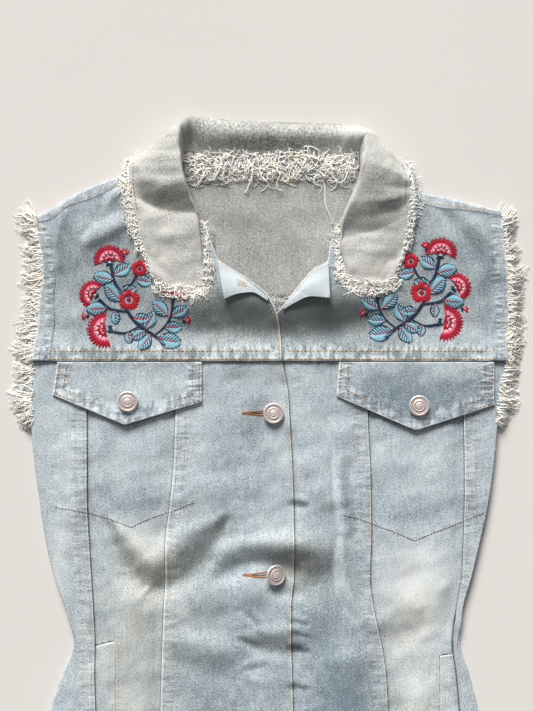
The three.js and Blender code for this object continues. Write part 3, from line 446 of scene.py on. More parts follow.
def sewing_rows():
    """Every row of stitches on the front as (thread, how hard it puckers the cloth, points)."""
    rows = []
    for drop in (2 * MM, 8.6 * MM):
        y = YOKE_SEAM_Y + drop
        rows.append(("ochre", 1, level_line(y, float(armhole("left", y)[0]) + 2 * MM, 5 * MM, 3)))
        rows.append(("ochre", 1, level_line(y, 11 * MM, float(armhole("right", y)[0]) - 2 * MM, 3)))
    for column, pucker, offsets in (
        ("leftOuter", 0.4, (-2.6, -9.6)), ("leftInner", 0.4, (2.4, 8.8)), ("front", 0.1, (-2.0,)),
        ("rightInner", 0.4, (-2.4, -9)),
    ):
        rows += [("cream", pucker, seam_line(column, offset * MM)) for offset in offsets]
    for offset, end in ((2.8, -200), (9.4, -160)):
        rows.append(("cream", 0.4, seam_line("rightOuter", offset * MM, YOKE_SEAM_Y, end * MM, 8)))
    rows.append(("cream", 0.3, seam_line("rightOuter", -3 * MM, RIGHT_DIP_Y - 16 * MM, HEM_Y, 8)))
    for side in SIDES:
        way = inwards(side)
        pocket = xy(POCKETS[side])
        rows.append((None, 0.25, xy(FACING_ROWS[side])))
        rows.append(("ochre", 0.8, xy(ARMHOLE_ROWS[side])))
        y = np.linspace(-7, 104, 9) * MM
        rows.append(("ochre", 0.4, np.column_stack([armhole(side, y) + way * 1.8 * MM, y])))
        rows.append(("brown", 0.3, pocket[1:-2] if side == "left" else pocket[2:-1]))
        rows.append((None, 0.2, pocket[:2] if side == "left" else pocket[:3]))
        rows.append((None, 0.2, pocket[-3:] if side == "left" else pocket[-2:]))
        x = np.linspace(*((-192, -80) if side == "left" else (80, 188)), 9) * MM
        rows.append(("ochre", 0.5, np.column_stack([x, shoulder("seam", x) + 2.2 * MM])))
        welt = WELTS[side]
        x = welt["inner"] + way * 2.6 * MM
        rows.append(("cream", 0.2, np.array([[x, welt["top"]], [x, welt["bottom"]]])))
        neck = xy(NECKLINES[side])
        edge = neck[:4] if side == "left" else neck[3:6]
        rows.append(("ochre", 0.1, inset(edge, 2.0 * MM)))
    for rise in (3, 13):
        y = HEM_Y + rise * MM
        rows.append(("ochre", 0.6, level_line(y, float(body("leftEdge", y)[0]) + 2 * MM, 15 * MM, 3)))
        rows.append(("ochre", 0.6, level_line(y, 21 * MM, float(body("rightEdge", y)[0]) - 2 * MM, 3)))
    return rows


ROWS = sewing_rows()


def nearest_row(x, y, rows):
    """How far the nearest row of stitches is from each point, how upright it runs and how it puckers."""
    nearest, upright, pucker = np.full_like(x, 1.0), np.zeros_like(x), np.zeros_like(x)
    for _, strength, points in rows:
        for (x0, y0), (x1, y1) in zip(points[:-1], points[1:]):
            dx, dy = x1 - x0, y1 - y0
            t = np.clip(((x - x0) * dx + (y - y0) * dy) / (dx * dx + dy * dy), 0, 1)
            away = np.hypot(x - x0 - t * dx, y - y0 - t * dy)
            closer = away < nearest
            nearest[closer] = away[closer]
            upright[closer] = abs(dy) / math.hypot(dx, dy)
            pucker[closer] = strength
    return nearest, upright, pucker * np.exp(-((nearest / (3.8 * MM)) ** 2))


class Field:
    """A function of x and y, worked out once on a fine grid and read between its points."""

    LOW = np.array([-236, -456]) * MM
    SIZE = np.array([472, 660]) * MM
    SPACING = 1 * MM

    def __init__(self, function):
        counts = np.ceil(self.SIZE / self.SPACING).astype(int) + 1
        axes = [start + self.SPACING * np.arange(count) for start, count in zip(self.LOW, counts)]
        x, y = np.meshgrid(*axes, indexing="ij")
        self.values = function(x.ravel(), y.ravel()).reshape(x.shape)

    def __call__(self, x, y):
        at = [(np.asarray(value, float) - low) / self.SPACING for value, low in zip((x, y), self.LOW)]
        i, j = (np.clip(np.floor(value).astype(int), 0, count - 2)
                for value, count in zip(at, self.values.shape))
        s, t = np.clip(at[0] - i, 0, 1), np.clip(at[1] - j, 0, 1)
        lower = mix(self.values[i, j], self.values[i + 1, j], s)
        return mix(lower, mix(self.values[i, j + 1], self.values[i + 1, j + 1], s), t)


def near_neck(x, y):
    return ease((y - 97 * MM) / (24 * MM)) * fades(np.abs(x), 116, 40)


def back_level(x, y):
    return CLOTH / 2 + NECK_RAISE * near_neck(x, y)


def overlap_lift(x, y):
    above = y - YOKE_SEAM_Y
    seam = np.where(above > 0, fades(above, 6, 22), fades(-above, 3, 18))
    return ease((x + 62 * MM) / (46 * MM)) * (OVERLAP_LIFT + YOKE_RAISE * seam)


def relief(x, y):
    """Creases, the cloth's own unevenness and the puckers that sewing draws along its rows."""
    sewn = nearest_row(x, y, ROWS)[2]
    pucker = ripple(x, y, 6.5 * MM, 5) * 0.2 * MM
    waves = ripple(x, y, 34 * MM, 8) * 0.30 * MM + ripple(x, y, 15 * MM, 9) * 0.12 * MM
    return strokes(CREASES, x, y) + waves + sewn * pucker


def front_shape(x, y):
    inside = np.minimum(np.minimum(x - rim("left", y), rim("right", y) - x), shoulder("fold", x) - y + 4 * MM)
    settle = ease((inside - 2 * MM) / (16 * MM))
    level = EDGE_LEVEL + BODY_PUFF * ease(inside / PUFF_REACH) + 0.85 * NECK_RAISE * near_neck(x, y)
    return level + (FOLD_GAIN * strokes(FOLDS, x, y) + falls(x, y)[0] + relief(x, y)) * settle


FRONT_SHAPE = Field(front_shape)


def front_level(x, y, side=None):
    level = FRONT_SHAPE(x, y)
    return level + overlap_lift(x, y) if side == "left" else level


def yoke_level(x, y, side=None):
    return front_level(x, y, side) + YOKE_RAISE * fades(y - YOKE_SEAM_Y, 6, 22)


def side_level(x, y, side):
    dips = 0 if side == "left" else ease((RIGHT_DIP_Y - y) / RIGHT_DIP_RUN)
    return mix(front_level(x, y), EDGE_LEVEL, dips * 0.5) - dips * STACK


def seam_sink(side, x, y):
    way = inwards(side)
    from_outer = (x - body(side + "Outer", y)) * way
    from_inner = (body(side + "Inner", y) - x) * way
    outer_sinks = 1 if side == "left" else 1 - ease((RIGHT_DIP_Y - y) / RIGHT_DIP_RUN)
    return STACK * np.maximum(fades(from_outer, 2, 12) * outer_sinks, fades(from_inner, 2, 12))


def middle_level(side, x, y):
    return front_level(x, y) - seam_sink(side, x, y)


def outer_lap(side, y):
    if side == "left":
        return body("leftOuter", y) - LAP
    lap = np.minimum(LAP, body("rightEdge", y) - body("rightOuter", y) - 1 * MM)
    ends = ease((RIGHT_DIP_Y + RIGHT_DIP_RUN - y) / RIGHT_DIP_RUN)
    return body("rightOuter", y) + mix(lap, -SEAM_GAP, ends)


def top_level(x, y):
    """Middle of the uppermost layer of the front at a point, without flaps and facings."""
    left = x < body("front", y)
    above = np.where(x < mix(8, 5, ease((y - YOKE_SEAM_Y) / (30 * MM))) * MM, yoke_level(x, y, "left"),
                     yoke_level(x, y, "right"))
    lower = np.where(left, front_level(x, y, "left"), front_level(x, y, "right"))
    for side in SIDES:
        way = inwards(side)
        in_middle = (body(side + "Inner", y) - x) * way > 0
        in_side = (body(side + "Outer", y) - x) * way > 0
        lower = np.where(in_middle, middle_level(side, x, y), lower)
        lower = np.where(in_side, side_level(x, y, side), lower)
    return np.where(y > YOKE_SEAM_Y, above, lower)


def welt_top(side, x):
    return WELTS[side]["top"] + WELTS[side]["slope"] * np.abs(x - WELTS[side]["inner"])


# The places of each cloth piece: points for shares u across from left to right and v upwards.
def lower_y(v):
    return mix(HEM_Y, YOKE_SEAM_Y + LAP, v)


def side_edge(side, y):
    """The outer edge of a side panel: it covers the wrap of the back above the waist."""
    edge = body(side + "Edge", y)
    return edge + np.clip(rim(side, y) - edge, -3.2 * MM, 3.2 * MM) * ease((y - WAIST_Y + 8 * MM) / (30 * MM))


def side_panel(side):
    def place(u, v):
        y = lower_y(v)
        if side == "left":
            x = mix(side_edge(side, y) + 0.2 * MM, body("leftOuter", y), u)
        else:
            apart = SEAM_GAP * ease((RIGHT_DIP_Y + RIGHT_DIP_RUN - y) / RIGHT_DIP_RUN)
            under = mix(apart, -7 * MM, ease((RIGHT_DIP_Y - 2 * RIGHT_DIP_RUN - y) / RIGHT_DIP_RUN))
            x = mix(body("rightOuter", y) + under, side_edge(side, y) - 0.2 * MM, u)
        return x, y, side_level(x, y, side)
    return place


def middle_panel(side):
    def place(u, v):
        y = lower_y(v)
        ends = [outer_lap(side, y), body(side + "Inner", y) + inwards(side) * LAP]
        x = mix(*(ends if side == "left" else ends[::-1]), u)
        return x, y, middle_level(side, x, y)
    return place


def centre_panel(side):
    def place(u, v):
        y = lower_y(v)
        if side == "left":
            x = mix(body("leftInner", y), body("front", y), u)
        else:
            x = mix(RIGHT_HIDDEN_X, body("rightInner", y), u)
        return x, y, front_level(x, y, side)
    return place


def yoke_plan(side, u, v):
    """The front yoke in plan: u runs inwards from the armhole and v up from the seam."""
    way = inwards(side)
    top_x = (-197.6 if side == "left" else 191.8) * MM
    arm_x = np.concatenate([[armhole(side, YOKE_SEAM_Y)[0]], ARMHOLES[side][1:-1], [top_x]]) + way * 0.2 * MM
    arm_y = np.concatenate([[YOKE_SEAM_Y], ARMHOLES["y"][1:-1], shoulder("seam", top_x)])
    arm, neck = path_of({"x": arm_x, "y": arm_y}), path_of(NECKLINES[side])
    (ax, ay), (nx, ny) = arm(v), neck(v)
    (arm_end_x, arm_end_y), (neck_end_x, neck_end_y) = arm(1), neck(1)
    rise = shoulder("seam", mix(arm_end_x, neck_end_x, u)) - mix(arm_end_y, neck_end_y, u)
    return mix(ax, nx, u), mix(ay, ny, u) + rise * v


def front_yoke(side):
    def place(u, v):
        x, y = yoke_plan(side, u if side == "left" else 1 - u, v)
        return x, y, yoke_level(x, y, side)
    return place


def armhole_band(side):
    def place(u, v):
        inwards_share = u if side == "left" else 1 - u
        x, y = yoke_plan(side, mix(0, 0.075, inwards_share), mix(0, 12 / 13, v))
        return x, y, yoke_level(x, y, side) + (CLOTH + BAND_CLOTH) / 2 + mix(0.1, -0.75, inwards_share**2) * MM
    return place


def flap(side):
    corners = FLAPS[side]
    side_left, point, side_right = [(corners["x"][k], corners["y"][k]) for k in (1, 2, 3)]

    def place(u, v):
        knee = (point[0] - side_left[0]) / (side_right[0] - side_left[0])
        first = u < knee
        half = np.where(first, u / knee, (u - knee) / (1 - knee))
        low_x = np.where(first, mix(side_left[0], point[0], half), mix(point[0], side_right[0], half))
        low_y = np.where(first, mix(side_left[1], point[1], half), mix(point[1], side_right[1], half))
        x = mix(low_x, mix(corners["x"][0], corners["x"][4], u), v)
        y = mix(low_y, corners["y"][0], v)
        swell = 1.5 * MM * np.sin(math.pi * u) * (1 - v) ** 2
        return x, y, front_level(x, y) + FLAP_RAISE + swell
    return place


def facing(side):
    fold, free = path_of(FACINGS[side]["fold"]), path_of(FACINGS[side]["free"])

    def place(u, v):
        share = 1 - u if side == "left" else u
        (fx, fy), (ex, ey) = fold(share), free(share)
        x, y = mix(ex, fx, v), mix(ey, fy, v)
        swell = ease(share * 1.5) * ease((1 - v) * 2)
        return x, y, yoke_level(x, y, side) + STACK + 0.3 * MM + FACINGS[side]["lift"] * swell
    return place


def welt(side):
    def place(u, v):
        way = inwards(side)
        inner, bottom = WELTS[side]["inner"], WELTS[side]["bottom"]
        y0 = mix(bottom, welt_top(side, inner), v)
        ends = [outer_lap(side, y0) + way * 0.2 * MM, np.full_like(y0, inner - way * SEAM_GAP)]
        x = mix(*(ends if side == "left" else ends[::-1]), u)
        y = mix(bottom + SEAM_GAP, welt_top(side, x) - SEAM_GAP, v)
        return x, y, middle_level(side, x, y)
    return place


def wrap_line(side, y, share):
    """The back body's side wrap at a height: share 0 is its tip under the front, 1 where it lies flat."""
    way = inwards(side)
    outer, edge = rim(side, y), body(side + "Edge", y)
    flare = ease((WAIST_Y - 4 * MM - y) / (30 * MM)) if side == "left" else 0
    tip = edge + way * mix(WRAP_TUCK, FLARE_TUCK, flare)
    crowded = ease((20 * MM - np.abs(edge - body(side + "Outer", y))) / (5 * MM))
    under = mix(side_level(edge + way * 2 * MM, y, side) - STACK, LOW_WRAP, crowded)
    radius = (np.maximum(LOW_WRAP, under) - CLOTH / 2) / 2
    bend = outer + way * radius
    turn = math.pi * (0.5 + np.clip((share - 0.5) / 0.5, 0, 1))
    flat = share < 0.5
    x = np.where(flat, mix(tip, bend, share / 0.5), bend + way * radius * np.cos(turn))
    z = np.where(flat, CLOTH / 2 + 2 * radius, CLOTH / 2 + radius * (1 + np.sin(turn)))
    return x, z


def back_body(u, v):
    y = mix(HEM_Y, BACK_SEAM_Y - SEAM_GAP, v)
    x = mix(rim("left", y) + 7 * MM, rim("right", y) - 7 * MM, (u - WRAP_SHARE) / (1 - 2 * WRAP_SHARE))
    z = np.full_like(y, CLOTH / 2)
    wrapped = ease((ARMHOLE_BOTTOM_Y - y) / (1.6 * MM) + 0.5)
    for side in SIDES:
        share = (u if side == "left" else 1 - u) / WRAP_SHARE
        here = share < 1
        wrap_x, wrap_z = wrap_line(side, y, share)
        plain_x = rim(side, y) + inwards(side) * mix(0.4, 7, share) * MM
        x = np.where(here, mix(plain_x, wrap_x, wrapped), x)
        z = np.where(here, mix(CLOTH / 2, wrap_z, wrapped), z)
    return x, y, z


def back_yoke(u, v):
    """The back yoke: v runs up its back, round the fold and down over the shoulder to the front."""
    x = mix(-199, 192, u) * MM
    wraps = np.abs(x) > SHOULDER_X
    fold = np.where(wraps, shoulder("fold", x), NECK_Y)
    low = back_level(x, fold - 2 * MM)
    seam_y = shoulder("seam", x)
    radius = np.where(wraps, (yoke_level(x, seam_y) - STACK - low) / 2, 0)
    top = fold - radius
    rise = np.clip(v / FOLD_SHARE, 0, 1)
    turn = np.clip((v - FOLD_SHARE) / (FRONT_SHARE - FOLD_SHARE), 0, 1)
    lie = np.clip((v - FRONT_SHARE) / (1 - FRONT_SHARE), 0, 1)
    y_flat = mix(BACK_SEAM_Y + SEAM_GAP, top, rise)
    low_x = mix(armhole("left", y_flat), armhole("right", y_flat), u)
    px = mix(low_x, x, ease((y_flat - 60 * MM) / (40 * MM)))
    angle = math.pi * (turn - 0.5)
    y = np.where(turn > 0, top + np.where(wraps, radius * np.cos(angle), 0.3 * MM * turn), y_flat)
    z = np.where(turn > 0, low + np.where(wraps, radius * (1 + np.sin(angle)), 0), back_level(px, y_flat))
    end = np.where(wraps, seam_y - LAP, top + 0.6 * MM)
    y = np.where(lie > 0, mix(top + np.where(wraps, 0, 0.3 * MM), end, lie), y)
    return np.where(turn > 0, x, px), y, z


def collar_point(s, share):
    """The collar's middle at a share s of its length and a share of its way from the neck seam to the rim."""
    stations = np.linspace(0, 1, len(COLLAR["neckX"]))

    def column(name):
        return run(stations, COLLAR[name], s)

    neck_x, neck_y = column("neckX"), column("neckY")
    low_y = np.minimum(neck_y, COLLAR_BACK_Y)
    left, right = (yoke_level(neck_x, low_y, side) for side in SIDES)
    front = np.where(s < 0.5, left, right) + 1.9 * MM
    at_back = ease((neck_y - COLLAR_BACK_Y) / (7 * MM))
    heights = {name: column(name + "Z") for name in ("roll", "bulge", "mid", "rim")}
    wall = 1 - at_back + 0.4 * at_back * ease((np.abs(neck_x) - 62 * MM) / (8 * MM))
    heights["neck"] = mix(front, CLOTH / 2 + NECK_RAISE + 0.7 * MM, at_back)
    at = list(COLLAR_KNOTS.values())
    axes = [[column(name + axis) for name in COLLAR_KNOTS] for axis in "XY"]
    axes[0][1] = mix(axes[0][1], neck_x, 0.8 * wall)
    axes[0][2] = mix(axes[0][2], neck_x, 0.45 * wall)
    axes.append([heights[name] for name in COLLAR_KNOTS])
    return [run(at, np.array(values), share) for values in axes]


# Soft pleats of the collar's leaves: how they lie on its length and width, and how deep they are.
PLEATS = (
    # along, across, reach along, reach across, turn, depth in millimetres
    (0.10, 0.62, 0.012, 0.30, 0.02, 1.1),
    (0.155, 0.66, 0.012, 0.34, -0.03, -1.3),
    (0.19, 0.55, 0.012, 0.30, -0.04, 1.4),
    (0.225, 0.62, 0.010, 0.30, 0.03, -1.2),
    (0.262, 0.60, 0.010, 0.26, 0.02, 1.2),
    (0.30, 0.30, 0.010, 0.20, 0.00, -0.8),
    (0.43, 0.14, 0.020, 0.14, 0.00, 0.5),
    (0.50, 0.15, 0.018, 0.14, 0.00, -0.4),
    (0.66, 0.30, 0.010, 0.20, 0.00, 0.7),
    (0.735, 0.74, 0.010, 0.26, 0.05, -1.7),
    (0.762, 0.70, 0.009, 0.28, 0.04, 1.7),
    (0.79, 0.76, 0.009, 0.26, 0.0, -1.7),
    (0.815, 0.70, 0.009, 0.26, -0.03, 1.5),
    (0.84, 0.72, 0.009, 0.26, -0.04, -1.4),
    (0.88, 0.60, 0.013, 0.28, 0.02, -0.9),
    (0.925, 0.60, 0.013, 0.26, 0.00, 0.8),
)


def leaf_fold(u, v):
    """The fold across each leaf: a slope down to it from the shoulder and a short steep rise below it."""
    total = np.zeros_like(u)
    for start, lean, way, depth in ((0.122, 0.094, 1, 5.4), (0.905, -0.075, -1, 2.4)):
        above = (u - start - lean * (v - 0.24)) * way * COLLAR_LENGTH
        hump = np.exp(-(((above - 30 * MM) / (20 * MM)) ** 2)) * 0.6
        slope = np.where(above > 0, np.exp(-((above / (17 * MM)) ** 2)), np.exp(above / (4.5 * MM)))
        total += depth * MM * (hump - slope * (1 - 0.7 * ease((v - 0.72) / 0.28))) * ease((v - 0.12) / 0.2)
    return total


def stand_fold(u, v):
    """The two upright folds of the stand behind the neck: a slope down to each and a short rise after it."""
    total = np.zeros_like(u)
    for start, depth, soft in ((0.412, 2.6, 12), (0.588, 1.4, 22)):
        after = (u - start) * COLLAR_LENGTH
        total -= depth * MM * np.where(after < 0, np.exp(after / (soft * MM)), np.exp(-after / (1.6 * MM)))
    return total * ease((v - 0.02) / 0.08) * (1 - ease((v - 0.22) / 0.1))


def collar_cloth(u, v):
    x, y, z = collar_point(u, v)
    flat = u * COLLAR_LENGTH, v * COLLAR_DEPTH
    rise = ripple(*flat, 13 * MM, 21) * 0.16 * MM + ripple(*flat, 30 * MM, 22) * 0.35 * MM
    for s, share, reach_s, reach_share, turn, depth in PLEATS:
        away = ((u - s - turn * (v - share)) / reach_s) ** 2 + ((v - share) / reach_share) ** 2
        rise += depth * MM * np.exp(-away)
    hidden = ease((u - 0.3) / 0.06) * ease((0.7 - u) / 0.06) * ease((v - 0.3) / 0.08)
    seated = ease(v / 0.08) * (1 - hidden)
    stand = ease((u - 0.33) / 0.05) * ease((0.69 - u) / 0.05) * ease(v / 0.15) * (1 - ease((v - 0.15) / 0.14))
    return x, y, z + (rise + leaf_fold(u, v) + stand_fold(u, v)) * seated + 6.5 * MM * stand


# Broad tones of the washed cloth: paler and darker, and warmer, patches. Some rows paint shade and some paint
# light rather than tones of the cloth, as marked below.
WASH_AND_SHADE_PATCHES = (
    # x, y, reach x, reach y, turn in degrees, paler, warmer
    (-112, -215, 34, 60, 0, 0.05, 0.8),
    (-60, -230, 20, 60, 0, 0.15, 0.35),
    (-120, -330, 30, 80, 0, 0.2, 0.7),
    (122, -192, 32, 40, 10, 0.85, 0.3),
    (120, -320, 26, 90, 0, 0.45, 0.3),
    (-178, -180, 10, 60, -8, 0.55, 0.2),
    (-176, -100, 14, 40, 0, 0.1, 0.1),
    (-120, -98, 50, 30, 0, 0.12, 0),
    (118, -98, 50, 30, 0, 0.02, 0),
    (120, -38, 56, 20, 0, -1.1, 0),
    (-120, -34, 50, 16, 0, 0.25, 0),
    (-140, 60, 60, 50, 0, -0.25, 0.1),
    (178, 64, 14, 44, 12, -0.3, 0),
    (140, 60, 50, 50, 0, -0.1, 0),
    (-40, -290, 50, 80, 0, -0.5, 0),
    (-195, -360, 22, 90, -10, -0.4, 0),
    (186, -350, 16, 90, 8, -0.3, 0),
    (4, -100, 12, 90, 0, 0.1, 0),
    # Painted shade: the yoke darker below each turned-back corner.
    (-28, 31, 50, 24, 0, -1.1, 0.9),
    (52, 31, 46, 24, 0, -1.1, 0.9),
    (-166, 116, 26, 26, 0, -0.3, 0),
    (-120, 62, 80, 60, 0, -0.4, 0.5),
    (120, 62, 80, 60, 0, -0.35, 0.5),
    # Painted shadow of the collar's left leaf on the yoke beside it.
    (-90, 92, 18, 40, -18, -0.6, 0.1),
    (-120, -124, 50, 14, 0, -0.4, 0),
    (118, -134, 52, 14, 0, -0.5, 0),
    # Painted light on the lit cloth above the deep crease below the left pocket.
    (-98, -168, 22, 20, 0, 0.3, 0.3),
    (60, -300, 36, 120, 0, -0.8, 0),
    (40, -200, 16, 30, 0, -0.4, 0.2),
    (112, -300, 20, 60, 0, 0.0, 0.5),
    (-18, -62, 22, 30, 0, -0.4, 0.1),
    (-48, -100, 16, 30, -20, -0.3, 0.1),
)
# Rows of the same kind for the collar and for the back. On the collar most rows paint shade and light: darker
# where the leaves and the stand turn from the light and in the hollow by the stand's left fold, paler on the
# lit lower parts of the leaves. On the back the first row, darker just below the neck, paints the stand's
# shade.
COLLAR_WASH_AND_SHADE_PATCHES = (
    (-96, 88, 20, 30, 20, 0.1, 0.1),
    (-84, 66, 22, 16, -30, 0.2, 0.1),
    (-92, 124, 22, 12, -20, -0.45, 0.3),
    (-66, 182, 8, 14, 0, -0.6, 0),
    (66, 178, 12, 12, 0, 0.3, -0.4),
    (0, 170, 60, 9, 0, -0.7, 0.1),
    (0, 188, 110, 9, 0, -0.5, -0.6),
    (-90, 165, 16, 18, 0, -0.4, 0.1),
    (92, 118, 20, 30, 0, -0.55, 0.1),
    (84, 66, 22, 14, 0, 0.35, 0.2),
)
BACK_WASH_AND_SHADE_PATCHES = (
    # Painted shade of the stand and its fringe just below the neck.
    (10, 134, 80, 12, 0, -0.45, 0.2),
    (24, 104, 60, 10, -8, 0.25, 0.1),
    (0, 84, 60, 22, 0, -0.35, 0),
)


def wash_and_shade_at(x, y, wash_and_shade):
    pale, warm = np.zeros_like(x), np.zeros_like(x)
    if wash_and_shade is WASH_AND_SHADE_PATCHES:
        _, pale, warm = falls(x, y)
    for cx, cy, rx, ry, turn, paler, warmer in wash_and_shade:
        c, s = math.cos(math.radians(turn)), math.sin(math.radians(turn))
        dx, dy = (x - cx * MM), (y - cy * MM)
        near = np.exp(-(((dx * c + dy * s) / (rx * MM)) ** 2 + ((dy * c - dx * s) / (ry * MM)) ** 2))
        pale += paler * near
        warm += warmer * near
    return pale, warm


class Sock:
    """A shader socket that can be used in Python expressions."""

    def __init__(self, tree, socket):
        self.tree, self.socket = tree, socket

    def _math(self, operation, *inputs):
        return self.tree.node("ShaderNodeMath", {"operation": operation}, inputs)

    def __add__(self, other):
        return self._math("ADD", self, other)

    def __radd__(self, other):
        return self._math("ADD", other, self)

    def __sub__(self, other):
        return self._math("SUBTRACT", self, other)

    def __rsub__(self, other):
        return self._math("SUBTRACT", other, self)

    def __mul__(self, other):
        return self._math("MULTIPLY", self, other)

    def __rmul__(self, other):
        return self._math("MULTIPLY", other, self)

    def __truediv__(self, other):
        return self._math("DIVIDE", self, other)

    def sine(self):
        return self._math("SINE", self)

    def clamp(self):
        return self.tree.node("ShaderNodeClamp", {}, [self, 0.0, 1.0])

    def bell(self, width):
        """1 where the value is 0, falling off over a width."""
        ratio = self / width
        return self._math("EXPONENT", ratio * ratio * -1.0)

    def step(self, low, high):
        return self.tree.node("ShaderNodeMapRange", {"interpolation_type": "SMOOTHSTEP"},
                              {"Value": self, "From Min": low, "From Max": high})


class Tree:
    """A material's nodes."""

    def __init__(self, name):
        self.material = bpy.data.materials.new(name)
        self.material.use_nodes = True
        self.nodes = self.material.node_tree.nodes
        self.shader = self.nodes["Principled BSDF"]

    def link(self, value, socket):
        if isinstance(value, Sock):
            self.material.node_tree.links.new(value.socket, socket)
        else:
            socket.default_value = value

    def node(self, kind, settings, inputs, output=0):
        made = self.nodes.new(kind)
        for name, value in settings.items():
            setattr(made, name, value)
        pairs = inputs.items() if isinstance(inputs, dict) else enumerate(inputs)
        for key, value in pairs:
            self.link(value, made.inputs[key])
        return Sock(self, made.outputs[output])

    def attribute(self, name):
        return self.node("ShaderNodeAttribute", {"attribute_name": name}, {}, "Fac")

    def uv(self):
        return self.node("ShaderNodeUVMap", {"uv_map": "cloth"}, {})

    def place(self):
        return self.node("ShaderNodeTexCoord", {}, {}, "Object")

    def stretched(self, vector, scale, turn=0.0):
        return self.node("ShaderNodeMapping", {"vector_type": "POINT"},
                         {"Vector": vector, "Rotation": (0, 0, turn), "Scale": scale})

    def noise(self, vector, scale, detail=3.0, rough=0.55):
        return self.node("ShaderNodeTexNoise", {}, {"Vector": vector, "Scale": scale, "Detail": detail,
                                                    "Roughness": rough})

    def mixed(self, factor, a, b, blend="MIX"):
        made = self.nodes.new("ShaderNodeMix")
        made.data_type, made.blend_type = "RGBA", blend
        self.link(factor, made.inputs["Factor"])
        for key, value in ((6, a), (7, b)):
            self.link(value if isinstance(value, Sock) else (*value[:3], 1.0), made.inputs[key])
        return Sock(self, made.outputs[2])

    def bump(self, height, distance, strength=1.0):
        return self.node("ShaderNodeBump", {}, {"Strength": strength, "Distance": distance, "Height": height})

    def finish(self, **values):
        for name, value in values.items():
            self.link(value, self.shader.inputs[name.replace("_", " ")])
        return self.material


def srgb(r, g, b):
    """A colour given as 0 to 255 in the display's own scale, as linear light."""
    return tuple(((c / 255 + 0.055) / 1.055) ** 2.4 if c > 10 else c / 255 / 12.92 for c in (r, g, b))


def denim(name, tint, pale, dark, warm, grain, contrast, ribs):
    """Washed denim: twill, streaked yarn, mottled fading and painted shade and light from its patches and
    creases, puckered seams, free edges pale with wear and a painted highlight, and dark lines by the edges that
    lie on it, part unfaded denim and part painted shadow.
    """
    t = Tree(name)
    uv = t.uv()
    yarn = t.noise(t.stretched(uv, (1250, 480, 1)), 1.0, 2.0)
    weft = t.noise(t.stretched(uv, (480, 1250, 1)), 1.0, 2.0)
    slub = t.noise(t.stretched(uv, (380, 90, 1)), 1.0, 2.0)
    fleck = t.noise(uv, 780.0, 2.0)
    cloud = t.noise(uv, 42.0, 4.0, 0.6)
    patch = t.noise(uv, 11.0, 2.0)
    across = t.node("ShaderNodeSeparateXYZ", {}, [t.stretched(uv, (1, 1, 1), math.radians(28))])
    twill = (across * (2 * math.pi / 0.0016) + yarn * 5.0).sine()
    pucker, edge, lip, upright = (t.attribute(key) for key in ("pucker", "edge", "lip", "upright"))
    rungs_up = t.noise(t.stretched(uv, (70, 240, 1)), 1.0, 1.0)
    rungs_across = t.noise(t.stretched(uv, (240, 70, 1)), 1.0, 1.0)
    rungs = (rungs_up * upright + rungs_across * (1 - upright)).step(0.36, 0.64)
    # A near-white band along the free edges: partly the wear of the edges, partly a painted highlight on their
    # rims.
    worn = (edge.bell(0.0010) * (0.45 + fleck * 1.1)).clamp()
    # The pale attribute carries the washed tones together with the painted shade and light of the patches and
    # creases.
    tone = (
        t.attribute("pale") * 0.5 + (cloud - 0.5) * (0.6 * contrast) + (patch - 0.5) * (0.5 * contrast)
        + (yarn - 0.5) * 0.7 * grain + (weft - 0.5) * 0.45 * grain + (slub - 0.5) * 0.35 * grain
        + (fleck - 0.5) * 0.8 * grain + twill * (0.09 * ribs) + pucker * (rungs - 0.42) * 0.62
    )
    level = (tone + 0.5).clamp()
    shade = t.mixed((level * 2.0).clamp(), dark, tint)
    shade = t.mixed((level * 2.0 - 1.0).clamp(), shade, pale)
    shade = t.mixed((t.attribute("warm") * (0.5 + cloud * 0.8) * 0.9).clamp(), shade, warm, "MULTIPLY")
    shade = t.mixed(worn * 0.9, shade, srgb(240, 237, 228))
    # A dark line beside each edge of a layer that lies on the panel, under the flaps and by the yoke seams: the
    # narrow part is unfaded denim, the broader soft part is painted shadow.
    shade = t.mixed(lip.bell(0.00085) * 0.65 + lip.bell(0.0026) * 0.15, shade, srgb(42, 54, 74))
    height = (twill * (0.2 * ribs) + yarn * 0.5 + weft * 0.4 + slub * 0.3 + fleck * 0.5 + pucker * rungs * 1.9
              + worn * 0.8)
    return t.finish(
        Base_Color=shade, Roughness=(0.82 + yarn * 0.12).clamp(), Sheen_Weight=0.08, Sheen_Roughness=0.6,
        Specular_IOR_Level=0.12, Normal=t.bump(height, 0.00045, 0.7),
    )


def thread(name, colour, spread, rough, sheen):
    """Sewing or embroidery thread, or loose yarn, uneven in tone from strand to strand."""
    t = Tree(name)
    place = t.place()
    fleck = t.noise(place, 900.0, 2.0)
    lump = t.noise(place, 140.0, 2.0)
    tone = (fleck - 0.5) * 2.4 * spread + (lump - 0.5) * 2.2 * spread
    light = tuple(min(1.0, c * 1.35 + 0.03) for c in colour)
    deep = tuple(c * 0.55 for c in colour)
    shade = t.mixed((tone * 2.0).clamp(), t.mixed((tone * -2.0).clamp(), colour, deep), light)
    return t.finish(Base_Color=shade, Roughness=rough, Sheen_Weight=sheen, Specular_IOR_Level=0.3,
                    Normal=t.bump(fleck, 0.0002, 0.6))


def metal(name, colour, dark):
    """Worn cast metal, darker in its hollows, bright on its raised work."""
    t = Tree(name)
    place = t.place()
    grain = t.noise(place, 1400.0, 3.0)
    cloud = t.noise(place, 260.0, 3.0)
    hollow = t.attribute("hollow")
    shade = t.mixed((hollow * 0.8 + (cloud - 0.5) * 0.8).clamp(), colour, dark)
    return t.finish(Base_Color=shade, Metallic=0.7, Roughness=(0.42 + cloud * 0.25 + hollow * 0.2).clamp(),
                    Normal=t.bump(grain, 0.00015, 0.5))


